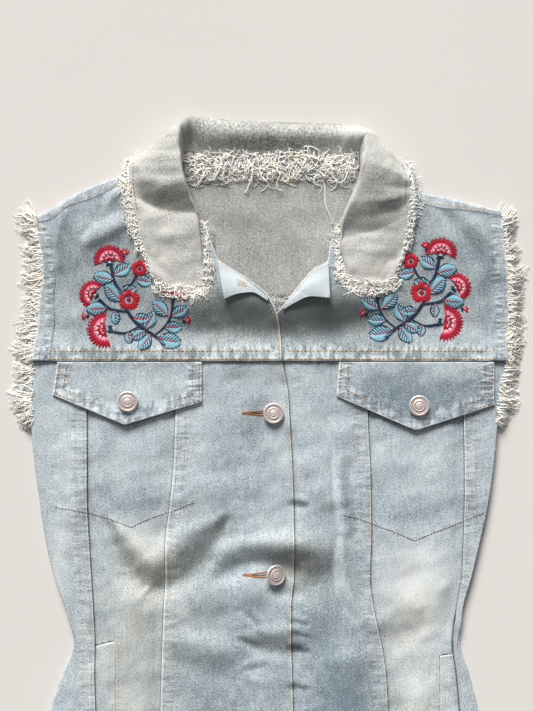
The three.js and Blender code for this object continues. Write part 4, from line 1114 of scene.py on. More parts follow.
def matt(name, colour):
    """A smooth painted surface, a little uneven in tone."""
    t = Tree(name)
    cloud = t.noise(t.place(), 3.0, 3.0)
    fine = t.noise(t.place(), 240.0, 2.0)
    dark = tuple(c * 0.94 for c in colour)
    return t.finish(Base_Color=t.mixed(cloud, dark, colour), Roughness=0.6 + fine * 0.2, Specular_IOR_Level=0.2,
                    Normal=t.bump(fine, 0.0002, 0.1))


EMBROIDERY = ("crimson", "scarlet", "pink", "blush", "navy", "sky", "teal")
DENIMS = {
    # colour, where pale, where dark, grain, contrast, ribs
    "front denim": ("front", "pale", "dark", 1.25, 1.0, 1.0),
    "facing denim": ("facing", "pale", "front", 0.7, 0.7, 1.0),
    "back denim": ("inside", "inside_pale", "inside_dark", 1.4, 1.1, 0.4),
    "collar denim": ("collar", "collar_pale", "inside_dark", 1.25, 0.5, 0.0),
}
THREADS = {
    # property group, colour, unevenness, roughness, sheen
    "cotton": ("vest_fray", "cotton", 0.12, 0.9, 0.2),
    "ecru": ("vest_fray", "ecru", 0.12, 0.9, 0.2),
    "blue yarn": ("vest_fray", "yarn", 0.14, 0.9, 0.3),
    "ochre thread": ("vest_sewing", "ochre", 0.16, 0.6, 0.2),
    "cream thread": ("vest_sewing", "cream", 0.14, 0.6, 0.2),
    "brown thread": ("vest_sewing", "brown", 0.14, 0.6, 0.2),
    "buttonhole thread": ("vest_sewing", "buttonhole", 0.14, 0.6, 0.2),
    "slot": ("vest_sewing", "slot", 0.1, 0.95, 0.0),
    **{shade: ("vest_sewing", shade, 0.10, 0.45, 0.1) for shade in EMBROIDERY},
}


def material(name):
    """One of this vest's finishes, made when first asked for."""
    found = bpy.data.materials.get(name)
    if found:
        return found
    scene = bpy.context.scene
    if name == "button metal":
        return metal(name, scene.vest_sewing.button, scene.vest_sewing.button_dark)
    if name in DENIMS:
        *shades, grain, contrast, ribs = DENIMS[name]
        tint, pale, dark = (getattr(scene.vest_cloth, shade) for shade in shades)
        return denim(name, tint, pale, dark, scene.vest_cloth.warm, grain, contrast, ribs)
    group, shade, *finish = THREADS[name]
    return thread(name, getattr(getattr(scene, group), shade), *finish)


def add_piece(name, mesh, materials, replaces=()):
    """An object at the origin that rides on the vest's one body."""
    for one in materials:
        mesh.materials.append(material(one))
    mesh.polygons.foreach_set("use_smooth", [True] * len(mesh.polygons))
    piece = bpy.data.objects.new(name, mesh)
    bpy.context.collection.objects.link(piece)
    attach(piece, "root")
    if replaces:
        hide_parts(*replaces)
    return piece


def vectors(data, key):
    values = np.empty(len(data) * 3, np.float32)
    data.foreach_get(key, values)
    return values.reshape(-1, 3).astype(float)


def cloth_piece(node, place, size, spacing=FINE, thickness=CLOTH, look="front denim", slot="denim_front",
                rests_on=(), rows=ROWS, free="", under=(), cut=None, flat_uv=False, turned=None, wash_and_shade=WASH_AND_SHADE_PATCHES):
    """The panel for one node: a grid whose points are moved to their places, thickened by a Solidify modifier.

    Size is its rough width and length. Free names the edges that are worn and carry a painted highlight: any of
    l, r, b and t. Under holds functions for how far a point is outside the edge of a layer that lies on the
    panel, where a dark line is drawn that is part unfaded denim and part painted shadow. Where turned holds for
    a point's shares, the panel shows the front's look.
    """
    name = node + "_cloth"
    columns, lines = (max(6, round(length * MM / spacing)) for length in size)
    bm = bmesh.new()
    layer = bm.loops.layers.uv.new("cloth")
    bmesh.ops.create_grid(bm, x_segments=columns, y_segments=lines, size=0.5)
    shares = np.array([v.co[:2] for v in bm.verts]) + 0.5
    u, v = shares[:, 0], shares[:, 1]
    x, y, z = place(u, v)
    x, y, z = (np.broadcast_to(value, u.shape) for value in (x, y, z))
    for vert, point in zip(bm.verts, np.column_stack([x, y, z])):
        vert.co = point
    if flat_uv:
        flat = np.column_stack([u * size[0] * MM, v * size[1] * MM])
    else:
        flat = np.column_stack([x, y])
    bm.verts.index_update()
    for face in bm.faces:
        for loop in face.loops:
            loop[layer].uv = flat[loop.vert.index]
    width, length, area = flat_size(x, y, z, u, v)
    share_layer = bm.verts.layers.float_vector.new("share")
    for vert, share in zip(bm.verts, shares):
        vert[share_layer] = (*share, 0)
    if cut:
        cut(bm)
    mesh = bpy.data.meshes.new(name)
    bm.to_mesh(mesh)
    bm.free()
    points = vectors(mesh.vertices, "co")
    kept = vectors(mesh.attributes["share"].data, "vector")
    mesh.attributes.remove(mesh.attributes["share"])
    # Washed tones, with painted shade and light where the patches and creases give it.
    pale, warm = wash_and_shade_at(points[:, 0], points[:, 1], wash_and_shade)
    x, y = points[:, 0], points[:, 1]
    _, upright, pucker = nearest_row(x, y, rows)
    far = np.full_like(x, 1.0)
    lip = np.min([far] + [one(x, y) for one in under], axis=0)
    edges = {"l": kept[:, 0] * width, "r": (1 - kept[:, 0]) * width,
             "b": kept[:, 1] * length, "t": (1 - kept[:, 1]) * length}
    edge = np.min([far] + [edges[key] for key in free], axis=0)
    kinds = {"pale": pale, "warm": warm, "pucker": pucker, "upright": upright, "edge": edge, "lip": lip}
    for key, values in kinds.items():
        mesh.attributes.new(key, "FLOAT", "POINT").data.foreach_set("value", np.asarray(values, np.float32))
    piece = add_piece(name, mesh, [look, "front denim"] if turned else [look], [node])
    if turned:
        for face in mesh.polygons:
            face.material_index = int(turned(*kept[face.vertices[0], :2]))
    thick = piece.modifiers.new("Thickness", "SOLIDIFY")
    thick.thickness, thick.offset = thickness, 0


def beside(column, way):
    """Outside the edge of the panel that laps over this one at a seam of the body."""
    return lambda x, y: (x - body(column, y)) * way


def below_yoke(x, y):
    return YOKE_SEAM_Y - y


def below_flap(side):
    rows = FLAPS[side]
    order = np.argsort(rows["x"][1:4])

    def outside(x, y):
        low = np.interp(x, rows["x"][1:4][order], rows["y"][1:4][order])
        return np.max([(low - y) * 0.94, rows["x"].min() - x, x - rows["x"].max()], axis=0)
    return outside


def right_dip(x, y):
    return np.where(y < RIGHT_DIP_Y - RIGHT_DIP_RUN, x - body("rightOuter", y), 1.0)


def flat_size(x, y, z, u, v):
    """The longest way across, the longest way up and the area of a grid of points."""
    columns, rows = len(np.unique(np.round(u, 6))), len(np.unique(np.round(v, 6)))
    order = np.lexsort((np.round(u, 6), np.round(v, 6)))
    grid = np.column_stack([x, y, z])[order].reshape(rows, columns, 3)
    across = np.linalg.norm(np.diff(grid, axis=1), axis=2)
    up = np.linalg.norm(np.diff(grid, axis=0), axis=2)
    normal = np.cross(grid[1:, :-1] - grid[:-1, :-1], grid[:-1, 1:] - grid[:-1, :-1])
    width, length = float(across.sum(axis=1).max()), float(up.sum(axis=0).max())
    return width, length, min(float(np.linalg.norm(normal, axis=2).sum()), width * length)


def welt_cut(side):
    """Cuts the middle panel round its welt."""
    inner, bottom, slope = (WELTS[side][key] for key in ("inner", "bottom", "slope"))
    way = inwards(side)

    def cut(bm):
        top = welt_top(side, inner)
        lean = Vector((-slope * -way, 1, 0))
        for origin, normal in (
            ((inner, 0, 0), (1, 0, 0)), ((0, bottom, 0), (0, 1, 0)), ((inner, top, 0), lean),
        ):
            bmesh.ops.bisect_plane(bm, geom=[*bm.verts, *bm.edges, *bm.faces], plane_co=origin, plane_no=normal)
        inside = []
        for face in bm.faces:
            x, y = face.calc_center_median()[:2]
            if (inner - x) * way > 0 and bottom < y < float(welt_top(side, np.array([x]))[0]):
                inside.append(face)
        bmesh.ops.delete(bm, geom=inside, context="FACES")
    return cut


def threads(name, strands, materials, replaces=()):
    """Many thin strands as one mesh. Each is (points, radii, material number)."""
    curve = bpy.data.curves.new(name, "CURVE")
    curve.dimensions = "3D"
    curve.bevel_depth = 1.0
    curve.bevel_resolution = 0
    curve.use_fill_caps = True
    for one in materials:
        curve.materials.append(material(one))
    for points, radii, look in strands:
        spline = curve.splines.new("POLY")
        spline.points.add(len(points) - 1)
        spline.points.foreach_set("co", np.column_stack([points, np.ones(len(points))]).ravel())
        spline.points.foreach_set("radius", np.broadcast_to(radii, len(points)).astype(np.float32))
        spline.material_index = look
    holder = bpy.data.objects.new(name + "_curve", curve)
    bpy.context.collection.objects.link(holder)
    mesh = bpy.data.meshes.new_from_object(holder.evaluated_get(bpy.context.evaluated_depsgraph_get()))
    bpy.data.objects.remove(holder)
    mesh.name = name
    return add_piece(name, mesh, (), replaces)


# A stitch: its points as shares of its length, and how thick it is at each.
STITCH_KNOTS = np.array([0, 0.25, 0.75, 1])
STITCH_RADII = np.array([0.5, 1, 1, 0.5])


def stitches_on(points, heights, pitch, length, radius, rng, look=0):
    """Spindle stitches along a line of x and y rows, lying at the heights that a function gives."""
    lengths = lengths_along(points)
    starts = np.arange(pitch / 2, lengths[-1] - length, pitch)
    spots = starts[:, None] + STITCH_KNOTS * length
    x, y = (np.interp(spots, lengths, points[:, k]) for k in (0, 1))
    jitter = rng.normal(0, 0.12 * MM, (len(starts), 1))
    z = heights(x.ravel(), y.ravel()).reshape(x.shape) + np.array([-0.25, 0.22, 0.22, -0.25]) * MM
    radii = STITCH_RADII * radius
    return [(np.column_stack(point), radii, look) for point in zip(x + jitter, y + jitter, z)]


def surface(x, y):
    """Upper face of the uppermost panel."""
    return top_level(x, y) + CLOTH / 2


def over_shoulder(x, y):
    """Upper face of the back yoke just behind the shoulder seam."""
    return yoke_level(x, y) + 0.6 * MM


def on_flap(x, y):
    return front_level(x, y) + FLAP_RAISE + CLOTH / 2 + 0.3 * MM


def colour(name, description, *shade):
    return bpy.props.FloatVectorProperty(name=name, description=description, subtype="COLOR", size=3,
                                         default=srgb(*shade))


def measure(name, description, length):
    return bpy.props.FloatProperty(name=name, description=description, default=length, unit="LENGTH")


class VestCloth(bpy.types.PropertyGroup):
    front: colour("Front", "Washed denim of the front", 184, 195, 201)
    pale: colour("Pale", "Front denim where it is most faded", 228, 234, 236)
    dark: colour("Dark", "Front denim where it is least faded", 116, 130, 140)
    warm: colour("Warm", "Filter that turns the blue to beige", 255, 243, 227)
    facing: colour("Facing", "Facings of the turned-back corners", 189, 198, 203)
    inside: colour("Inside", "Wrong side of the back", 180, 181, 178)
    inside_pale: colour("Inside pale", "Pale yarn of the back's wrong side", 226, 228, 226)
    inside_dark: colour("Inside dark", "Dark yarn of the back's wrong side", 128, 130, 126)
    collar: colour("Collar", "Collar denim", 202, 202, 197)
    collar_pale: colour("Collar pale", "Faded collar denim", 240, 238, 232)


class VestSewing(bpy.types.PropertyGroup):
    pitch: measure("Stitch pitch", "From one stitch to the next", 3.4 * MM)
    length: measure("Stitch length", "Length of a stitch", 2.7 * MM)
    thickness: measure("Thread thickness", "Thickness of the sewing thread", 0.6 * MM)
    button_radius: measure("Button radius", "Radius of a button", 8.6 * MM)
    ochre: colour("Ochre thread", "Topstitching", 196, 156, 96)
    cream: colour("Cream thread", "Paler stitching", 206, 186, 150)
    brown: colour("Brown thread", "Lower edge of the pockets", 112, 98, 84)
    buttonhole: colour("Buttonhole thread", "Buttonholes", 168, 108, 44)
    slot: colour("Slot", "Shade inside the buttonholes", 70, 70, 74)
    crimson: colour("Crimson", "Flower thread", 176, 22, 52)
    scarlet: colour("Scarlet", "Blossom thread", 196, 30, 48)
    pink: colour("Pink", "Petal thread", 234, 104, 134)
    blush: colour("Blush", "Petal tips", 248, 214, 220)
    navy: colour("Navy", "Stems and the outlines of the leaves", 30, 44, 72)
    sky: colour("Sky", "Leaves", 150, 200, 216)
    teal: colour("Teal", "Lit side of the stems", 58, 96, 120)
    button: colour("Button", "Button metal", 238, 228, 222)
    button_dark: colour("Button hollows", "Button metal in its hollows", 168, 152, 146)


class VestFray(bpy.types.PropertyGroup):
    strands: bpy.props.IntProperty(
        name="Strands", description="Loose threads on each frayed armhole", default=1200, min=20)
    thickness: measure("Yarn thickness", "Thickness of a loose thread", 0.9 * MM)
    cotton: colour("Cotton", "Undyed loose threads", 255, 253, 247)
    ecru: colour("Ecru", "Undyed loose threads that have yellowed", 250, 243, 228)
    yarn: colour("Blue yarn", "Dyed loose threads", 178, 190, 196)


class VestStage(bpy.types.PropertyGroup):
    floor: colour("Floor", "Floor colour", 228, 224, 219)
    camera_height: measure("Camera height", "Camera above the floor", 1.1)
    frame_height: measure("Frame height", "What the picture's long side takes in", 0.5901)
    light: bpy.props.FloatProperty(
        name="Light", description="Strength of the window light", default=1.0, min=0.0)


class VestOperator:
    bl_options = {"REGISTER", "UNDO"}

    def execute(self, context):
        self.build(context)
        return {"FINISHED"}


class VEST_OT_back(VestOperator, bpy.types.Operator):
    """Back body and back yoke, wrong side up inside the neck"""
    bl_idname = "vest.back"
    bl_label = "Back"

    def build(self, context):
        cloth_piece("back_body", back_body, (440, 488), COARSE, look="back denim", slot="denim_back", rows=(),
                    turned=lambda u, v: abs(u - 0.5) > 0.36, wash_and_shade=())
        cloth_piece("back_yoke", back_yoke, (391, 140), 2.4 * MM, look="back denim", slot="denim_back",
                    rows=[row for row in ROWS if row[2][0, 1] > 90 * MM], turned=lambda u, v: v > 0.78,
                    wash_and_shade=BACK_WASH_AND_SHADE_PATCHES)


class VEST_OT_front(VestOperator, bpy.types.Operator):
    """The six lower panels of the front and the welts of the side pockets"""
    bl_idname = "vest.front"
    bl_label = "Front panels"

    def build(self, context):
        for side in SIDES:
            left = side == "left"
            way = inwards(side)
            over_back = {"rests_on": ["back_body_cloth"]}
            cloth_piece("front_side_" + side, side_panel(side), (44, 440), free="r" if left else "l",
                        under=[below_yoke] if left else [below_yoke, right_dip], **over_back)
            cloth_piece("front_mid_" + side, middle_panel(side), (76, 440), cut=welt_cut(side),
                        under=[below_yoke, below_flap(side), beside(side + "Inner", -way),
                               beside(side + "Outer", way)], **over_back)
            cloth_piece("front_centre_" + side, centre_panel(side), (96, 440), free="lr" if left else "r",
                        under=[below_yoke] if left else [below_yoke, beside("front", 1)], **over_back)
            cloth_piece("welt_" + side, welt(side), (20, 150), free="lrt",
                        under=[beside(side + "Outer", way)], **over_back)


class VEST_OT_yokes(VestOperator, bpy.types.Operator):
    """Front yokes, their turned armhole edges and the turned-back corners of the fronts"""
    bl_idname = "vest.yokes"
    bl_label = "Front yokes"

    def build(self, context):
        for side in SIDES:
            outer, inner = ("l", "r") if side == "left" else ("r", "l")
            on_yoke = {"rests_on": [f"front_yoke_{side}_cloth"]}
            cloth_piece("front_yoke_" + side, front_yoke(side), (190, 150), free="b" + inner,
                        rests_on=["back_yoke_cloth", f"front_mid_{side}_cloth"],
                        under=[lambda x, y: shoulder("seam", x) - y - 0.6 * MM])
            cloth_piece("armhole_band_" + side, armhole_band(side), (13, 115), thickness=BAND_CLOTH, free=outer,
                        **on_yoke)
            cloth_piece("neck_facing_" + side, facing(side), (55, 28), 1.2 * MM, look="facing denim", free="bt",
                        wash_and_shade=(), **on_yoke)


class VEST_OT_flaps(VestOperator, bpy.types.Operator):
    """Chest pocket flaps"""
    bl_idname = "vest.flaps"
    bl_label = "Pocket flaps"

    def build(self, context):
        for side in SIDES:
            cloth_piece("pocket_flap_" + side, flap(side), (124, 50), 1.4 * MM, rows=flap_rows(side),
                        free="lrb", rests_on=[f"front_mid_{side}_cloth"])


def flap_rows(side):
    outline = xy(FLAPS[side])
    return [("ochre", 1, inset(outline, depth * MM)) for depth in (2.0, 8)]


class VEST_OT_collar(VestOperator, bpy.types.Operator):
    """Collar with its stand and leaves"""
    bl_idname = "vest.collar"
    bl_label = "Collar"

    def build(self, context):
        cloth_piece("collar", collar_cloth, (470, 80), 1.9 * MM, COLLAR_CLOTH, "collar denim", "collar_cloth",
                    ["front_yoke_left_cloth", "front_yoke_right_cloth", "back_yoke_cloth"], rows=(), free="lrt",
                    flat_uv=True, wash_and_shade=COLLAR_WASH_AND_SHADE_PATCHES)


class VEST_OT_sewing(VestOperator, bpy.types.Operator):
    """Rows of topstitching and the buttonholes"""
    bl_idname = "vest.sewing"
    bl_label = "Topstitching"

    def build(self, context):
        sewn = context.scene.vest_sewing
        rng = np.random.default_rng(3)
        size = (sewn.pitch, sewn.length, sewn.thickness / 2)
        strands = []
        looks = ("ochre thread", "cream thread", "brown thread")
        for kind, _, points in ROWS:
            if kind:
                heights = over_shoulder if min(points[0, 1], points[-1, 1]) > 100 * MM else surface
                look = ("ochre", "cream", "brown").index(kind)
                sized = np.array(size) * ((1, 1, 1), (0.8, 0.85, 0.8), (0.8, 0.95, 1.1))[look]
                strands += stitches_on(points, heights, *sized, rng, look)
        for side in SIDES:
            for _, _, points in flap_rows(side):
                strands += stitches_on(points, on_flap, *size, rng, 0)
        threads("topstitching", strands, looks)
        self.collar_rows(size)
        self.buttonholes(rng)

    def collar_rows(self, size):
        strands = []
        for s0, s1, share in ((0.16, 0.30, 0.91), (0.70, 0.83, 0.91)):
            s = np.linspace(s0, s1, 200)
            points = np.column_stack(collar_cloth(s, np.full_like(s, share)))
            lengths = lengths_along(points)
            for start in np.arange(0, lengths[-1] - size[1], size[0]):
                stitch = points_at(points, lengths, start + STITCH_KNOTS * size[1])
                stitch[:, 2] += COLLAR_CLOTH / 2 + np.array([-0.2, 0.2, 0.2, -0.2]) * MM
                strands.append((stitch, STITCH_RADII * size[2], 0))
        threads("collar_stitching", strands, ["slot"])

    def buttonholes(self, rng):
        """Two sewn lips that meet in a point on the left of each button, round a narrow slot."""
        strands = []
        for name, (x, y, _) in BUTTONS.items():
            if "front" not in name:
                continue
            for step in np.arange(0, 22, 0.5):
                open_by = 0.15 + 2.1 * (step / 22) ** 1.2
                for way in (1, -1):
                    xs = (x - 26 + step + rng.normal(0, 0.1, 3)) * MM
                    ys = (y + way * (open_by + np.array([-0.35, 0.2, 0.75]))) * MM
                    zs = surface(xs, ys) + np.array([0, 0.35, 0]) * MM
                    strands.append((np.column_stack([xs, ys, zs]), np.array([0.8, 1, 0.7]) * 0.34 * MM, 0))
            # A dark strand along each slot: painted shade inside the buttonhole.
            xs = np.linspace(x - 19, x - 4, 8) * MM
            ys = np.full(8, y * MM)
            strands.append((np.column_stack([xs, ys, surface(xs, ys) + 0.05 * MM]), 0.4 * MM, 1))
        for step in np.linspace(0, 1, 13):
            for across in (-0.11, 0.11):
                shares = np.full(3, mix(0.36, 0.52, step)), 0.56 + across * np.array([0.4, 1, 1.6])
                x, y, z = facing("left")(*shares)
                z = z + (0.55 + np.array([0, 0.3, 0])) * MM
                strands.append((np.column_stack([x, y, z]), 0.22 * MM, 0 if step in (0, 1) else 2))
        # A dark strand along the facing's buttonhole: painted shade in its slot.
        x, y, z = facing("left")(np.linspace(0.38, 0.5, 5), np.full(5, 0.56))
        strands.append((np.column_stack([x, y, z + 0.5 * MM]), 0.3 * MM, 1))
        threads("buttonholes", strands, ["buttonhole thread", "slot", "cream thread"])


class VEST_OT_fray(VestOperator, bpy.types.Operator):
    """Loose threads of the frayed armholes, collar rim and neck seam"""
    bl_idname = "vest.fray"
    bl_label = "Frayed edges"

    LOOKS = ("cotton", "ecru", "blue yarn")
    SHARES_OF_LOOKS = (0.62, 0.3, 0.08)
    POINTS_A_COIL = 6

    def build(self, context):
        fray = context.scene.vest_fray
        self.radius = fray.thickness / 2
        for side in SIDES:
            self.armhole(side, fray.strands)
            self.collar(side, round(fray.strands * 0.45))
        self.neck(round(fray.strands * 0.35))

    def look(self, rng):
        return int(rng.choice(3, p=self.SHARES_OF_LOOKS))

    def strand(self, rng, root, out, length, curl, floor, loft=1.5 * MM, thick=1.0, count=7):
        """A loose thread from a root, bent at random and lying down towards the floor below it."""
        t = np.linspace(0, 1, count)
        aside = np.array([-out[1], out[0]])
        phase = rng.uniform(0, 2 * math.pi, 2)
        turns = rng.uniform(0.6, 1.8)
        sway = curl * length * (np.sin(turns * math.pi * t + phase[0]) - math.sin(phase[0])) * 0.5
        gain = np.sin(2 * turns * math.pi * t + phase[1]) - math.sin(phase[1])
        forward = length * t + curl * length * 0.25 * gain
        x = root[0] + out[0] * forward + aside[0] * sway
        y = root[1] + out[1] * forward + aside[1] * sway
        drop = root[2] + loft * np.sin(math.pi * np.minimum(t * 1.2, 1)) - (root[2] - 1 * MM) * t**1.6
        z = np.maximum(drop, floor(x, y) + self.radius * 1.3)
        return np.column_stack([x, y, z]), self.radius * thick * (1 - 0.5 * t), self.look(rng)

    def coils(self, rng, edge, reaches, size, pitch, lift=0.0, thick=0.8):
        """Looped yarn along an edge. Each line coils at its own reach, in metres, out from the edge."""
        strands = []
        for reach in reaches:
            s = np.linspace(rng.uniform(0, 0.02), rng.uniform(0.98, 1), 400)
            points, outs = edge(s)
            lengths = lengths_along(points)
            here = np.linspace(0, lengths[-1], max(12, int(lengths[-1] / pitch * self.POINTS_A_COIL)))
            spot = points_at(points, lengths, here)
            out = points_at(outs, lengths, here)
            seed = rng.integers(1 << 20)
            turn = 2 * math.pi * here / pitch + 1.6 * ripple(here, 0 * here, 9 * MM, seed, count=8)
            wide = size * (0.75 + 0.35 * ripple(here, 0 * here, 5 * MM, seed + 1, count=8))
            away = reach + wide * np.cos(turn) + 0.5 * size * ripple(here, 0 * here, 12 * MM, seed + 2, count=8)
            slide = wide * np.sin(turn)
            spot[:, 0] += out[:, 0] * away - out[:, 1] * slide
            spot[:, 1] += out[:, 1] * away + out[:, 0] * slide
            spot[:, 2] += lift + rng.uniform(-0.5, 0.5) * MM + 0.6 * size * np.sin(turn * 0.5 + 1)
            strands.append((spot, self.radius * thick * rng.uniform(0.75, 1.15), self.look(rng)))
        return strands

    def armhole(self, side, count):
        rng = np.random.default_rng(11 if side == "left" else 12)
        way = inwards(side)
        bottom, top = -60 * MM, 112 * MM
        longest = (19 if side == "left" else 16) * MM
        strands = []
        for _ in range(count):
            y = rng.uniform(bottom, top)
            share = (y - bottom) / (top - bottom)
            x = float(rim(side, np.array([y]))[0]) + way * rng.uniform(-0.3, 2.2) * MM
            level = yoke_level if y > YOKE_SEAM_Y else side_level
            top_z = float(level(np.array([x]), np.array([y]), side)[0])
            z = rng.uniform(1.2 * MM, top_z + 1.2 * MM)
            lean = mix(-0.35, 0.1, share) + 0.55 * max(0, share - 0.86) / 0.14
            angle = rng.normal(lean, 0.24) + 0.22 * math.sin(y * 260)
            out = np.array([-way * math.cos(angle), math.sin(angle)])
            clump = 0.86 + 0.14 * math.sin(y * 310 + 1) + 0.1 * math.sin(y * 120)
            length = longest * clump * (1 - 0.72 * rng.random() ** 2.2) * (1 if share > 0.04 else 0.7)
            strands.append(self.strand(rng, (x, y, z), out, length, rng.uniform(0.08, 0.5), lambda x, y: 0 * x))
        strands += self.coils(rng, lambda s: self.armhole_edge(side, s, bottom, top),
                              np.array([0.2, 0.8, 1.4, 2.2, 3.2]) * MM, 0.7 * MM, 3.4 * MM)
        threads(f"armhole_fringe_{side}_yarn", strands, self.LOOKS, [f"armhole_fringe_{side}"])

    def armhole_edge(self, side, s, bottom, top):
        y = mix(bottom, top, s)
        x = rim(side, y)
        level = np.where(y > YOKE_SEAM_Y, yoke_level(x, y, side), side_level(x, y, side))
        return np.column_stack([x, y, level]), np.tile([-inwards(side), 0.0], (len(s), 1))

    def collar_edge(self, side, share, first=0.0, last=1.0):
        """Points on a leaf's frayed edge and their ways out: rim from the shoulder, bottom, then front."""
        places = [(s, 1.0) for s in (0.275, 0.24, 0.2, 0.15, 0.1, 0.06, 0.02, 0)]
        places += [(0, across) for across in (0.85, 0.65, 0.45, 0.25, 0.08)]
        places += [(s, 0.0) for s in (0.02, 0.05, 0.085, 0.115)]
        s, across = np.array(places, float).T
        s = s if side == "left" else 1 - s
        points = np.column_stack(collar_point(s, across))
        lengths = lengths_along(points[:, :2])
        here = mix(first, last, np.atleast_1d(share)) * lengths[-1]
        found = np.column_stack([run(lengths, column, here) for column in points.T])
        ahead = np.column_stack([run(lengths, column, here + 2 * MM) - run(lengths, column, here - 2 * MM)
                                 for column in points.T[:2]])
        out = np.column_stack([ahead[:, 1], -ahead[:, 0]]) * inwards(side)
        return found, out / np.linalg.norm(out, axis=1)[:, None]

    def collar(self, side, count):
        rng = np.random.default_rng(31 if side == "left" else 32)
        strands = []
        lengths = ((0, 0.12, 0.3, 0.42, 0.55, 0.63, 0.8, 0.87, 1), (7, 8, 6, 3, 3.5, 9, 9, 9, 6))
        shares = rng.random(count)
        places, outs = self.collar_edge(side, shares)
        longest = run(*lengths, shares) * MM

        def floor(x, y):
            over = (y < shoulder("fold", x) - 3 * MM) & (np.abs(x) > 52 * MM)
            return np.where(over, yoke_level(x, y, side) + CLOTH / 2, 3.6 * MM)

        for place, out, length in zip(places, outs, longest):
            turn = rng.normal(0, 0.5)
            c, s = math.cos(turn), math.sin(turn)
            way = np.array([out[0] * c - out[1] * s, out[0] * s + out[1] * c])
            inner = rng.uniform(-1.8, 0.8) * MM
            root = (*(place[:2] + out * inner), place[2] + rng.uniform(-0.7, 1.1) * MM)
            strands.append(self.strand(rng, root, way, length * rng.uniform(0.45, 1.25), rng.uniform(0.3, 1.0),
                                       floor, 1.0 * MM))
        for first, last, reaches, size, pitch in (
            (0, 0.40, (-1, 0.2, 1.4, 2.6, 3.8, 5), 1.1, 2.6),
            (0.36, 0.56, (-0.4, 0.6, 1.6), 0.8, 2.4),
            (0.53, 0.84, (-1.5, 0, 1.6, 3.2, 4.8, 6.4, 8), 1.9, 3.2),
            (0.82, 1, (-5, -3, -1, 0.8, 2.6), 1.6, 3.2),
        ):
            edge = partial(self.collar_edge, side, first=first, last=last)
            strands += self.coils(rng, edge, np.array(reaches) * MM, size * MM, pitch * MM, 0.5 * MM)
        threads(f"collar_fringe_{side}_yarn", strands, self.LOOKS, [f"collar_fringe_{side}"])

    def neck(self, count):
        rng = np.random.default_rng(41)
        strands = []

        def floor(x, y):
            return back_level(x, y) + CLOTH / 2

        def edge(s):
            x = mix(-72, 71, s) * MM
            y = np.full_like(x, NECK_Y)
            return np.column_stack([x, y, back_level(x, y) + 1.5 * MM]), np.tile([0.0, -1.0], (len(s), 1))

        for _ in range(count):
            x, y = rng.uniform(-71, 70) * MM, NECK_Y - rng.uniform(-3, 13) * MM
            root = (x, y, CLOTH + NECK_RAISE + rng.uniform(0.8, 2.6) * MM)
            turn = rng.uniform(-1.5, 1.5)
            out = np.array([math.sin(turn), -math.cos(turn)])
            strands.append(self.strand(rng, root, out, rng.uniform(4, 12) * MM, rng.uniform(0.6, 1.6), floor,
                                       2.2 * MM, rng.uniform(0.8, 1.3), 9))
        strands += self.coils(rng, edge, np.arange(-1.5, 19, 1.25) * MM, 1.5 * MM, 3 * MM)
        t = np.linspace(0, 1, 30)
        x = (mix(41, 50, t) - 7 * np.sin(math.pi * t) * (t > 0.45) * (t - 0.45)) * MM + np.sin(t * 9) * 1.0 * MM
        y = mix(144, 105, t) * MM
        strands.append((np.column_stack([x, y, back_level(x, y) + CLOTH]), self.radius * 1.2, 0))

        def seam(s):
            x = mix(-8, 16, s) * MM
            y = np.full_like(x, BACK_SEAM_Y)
            return np.column_stack([x, y, back_level(x, y) + CLOTH]), np.tile([0.0, -1.0], (len(s), 1))

        for reach in np.arange(-1, 12, 1.1) * MM:
            for points, radius, _ in self.coils(rng, seam, [reach], 1.2 * MM, 2.6 * MM, thick=0.7):
                strands.append((points, radius, int(rng.choice((0, 1, 2, 2)))))
        threads("neck_fringe_yarn", strands, self.LOOKS, ["neck_fringe"])


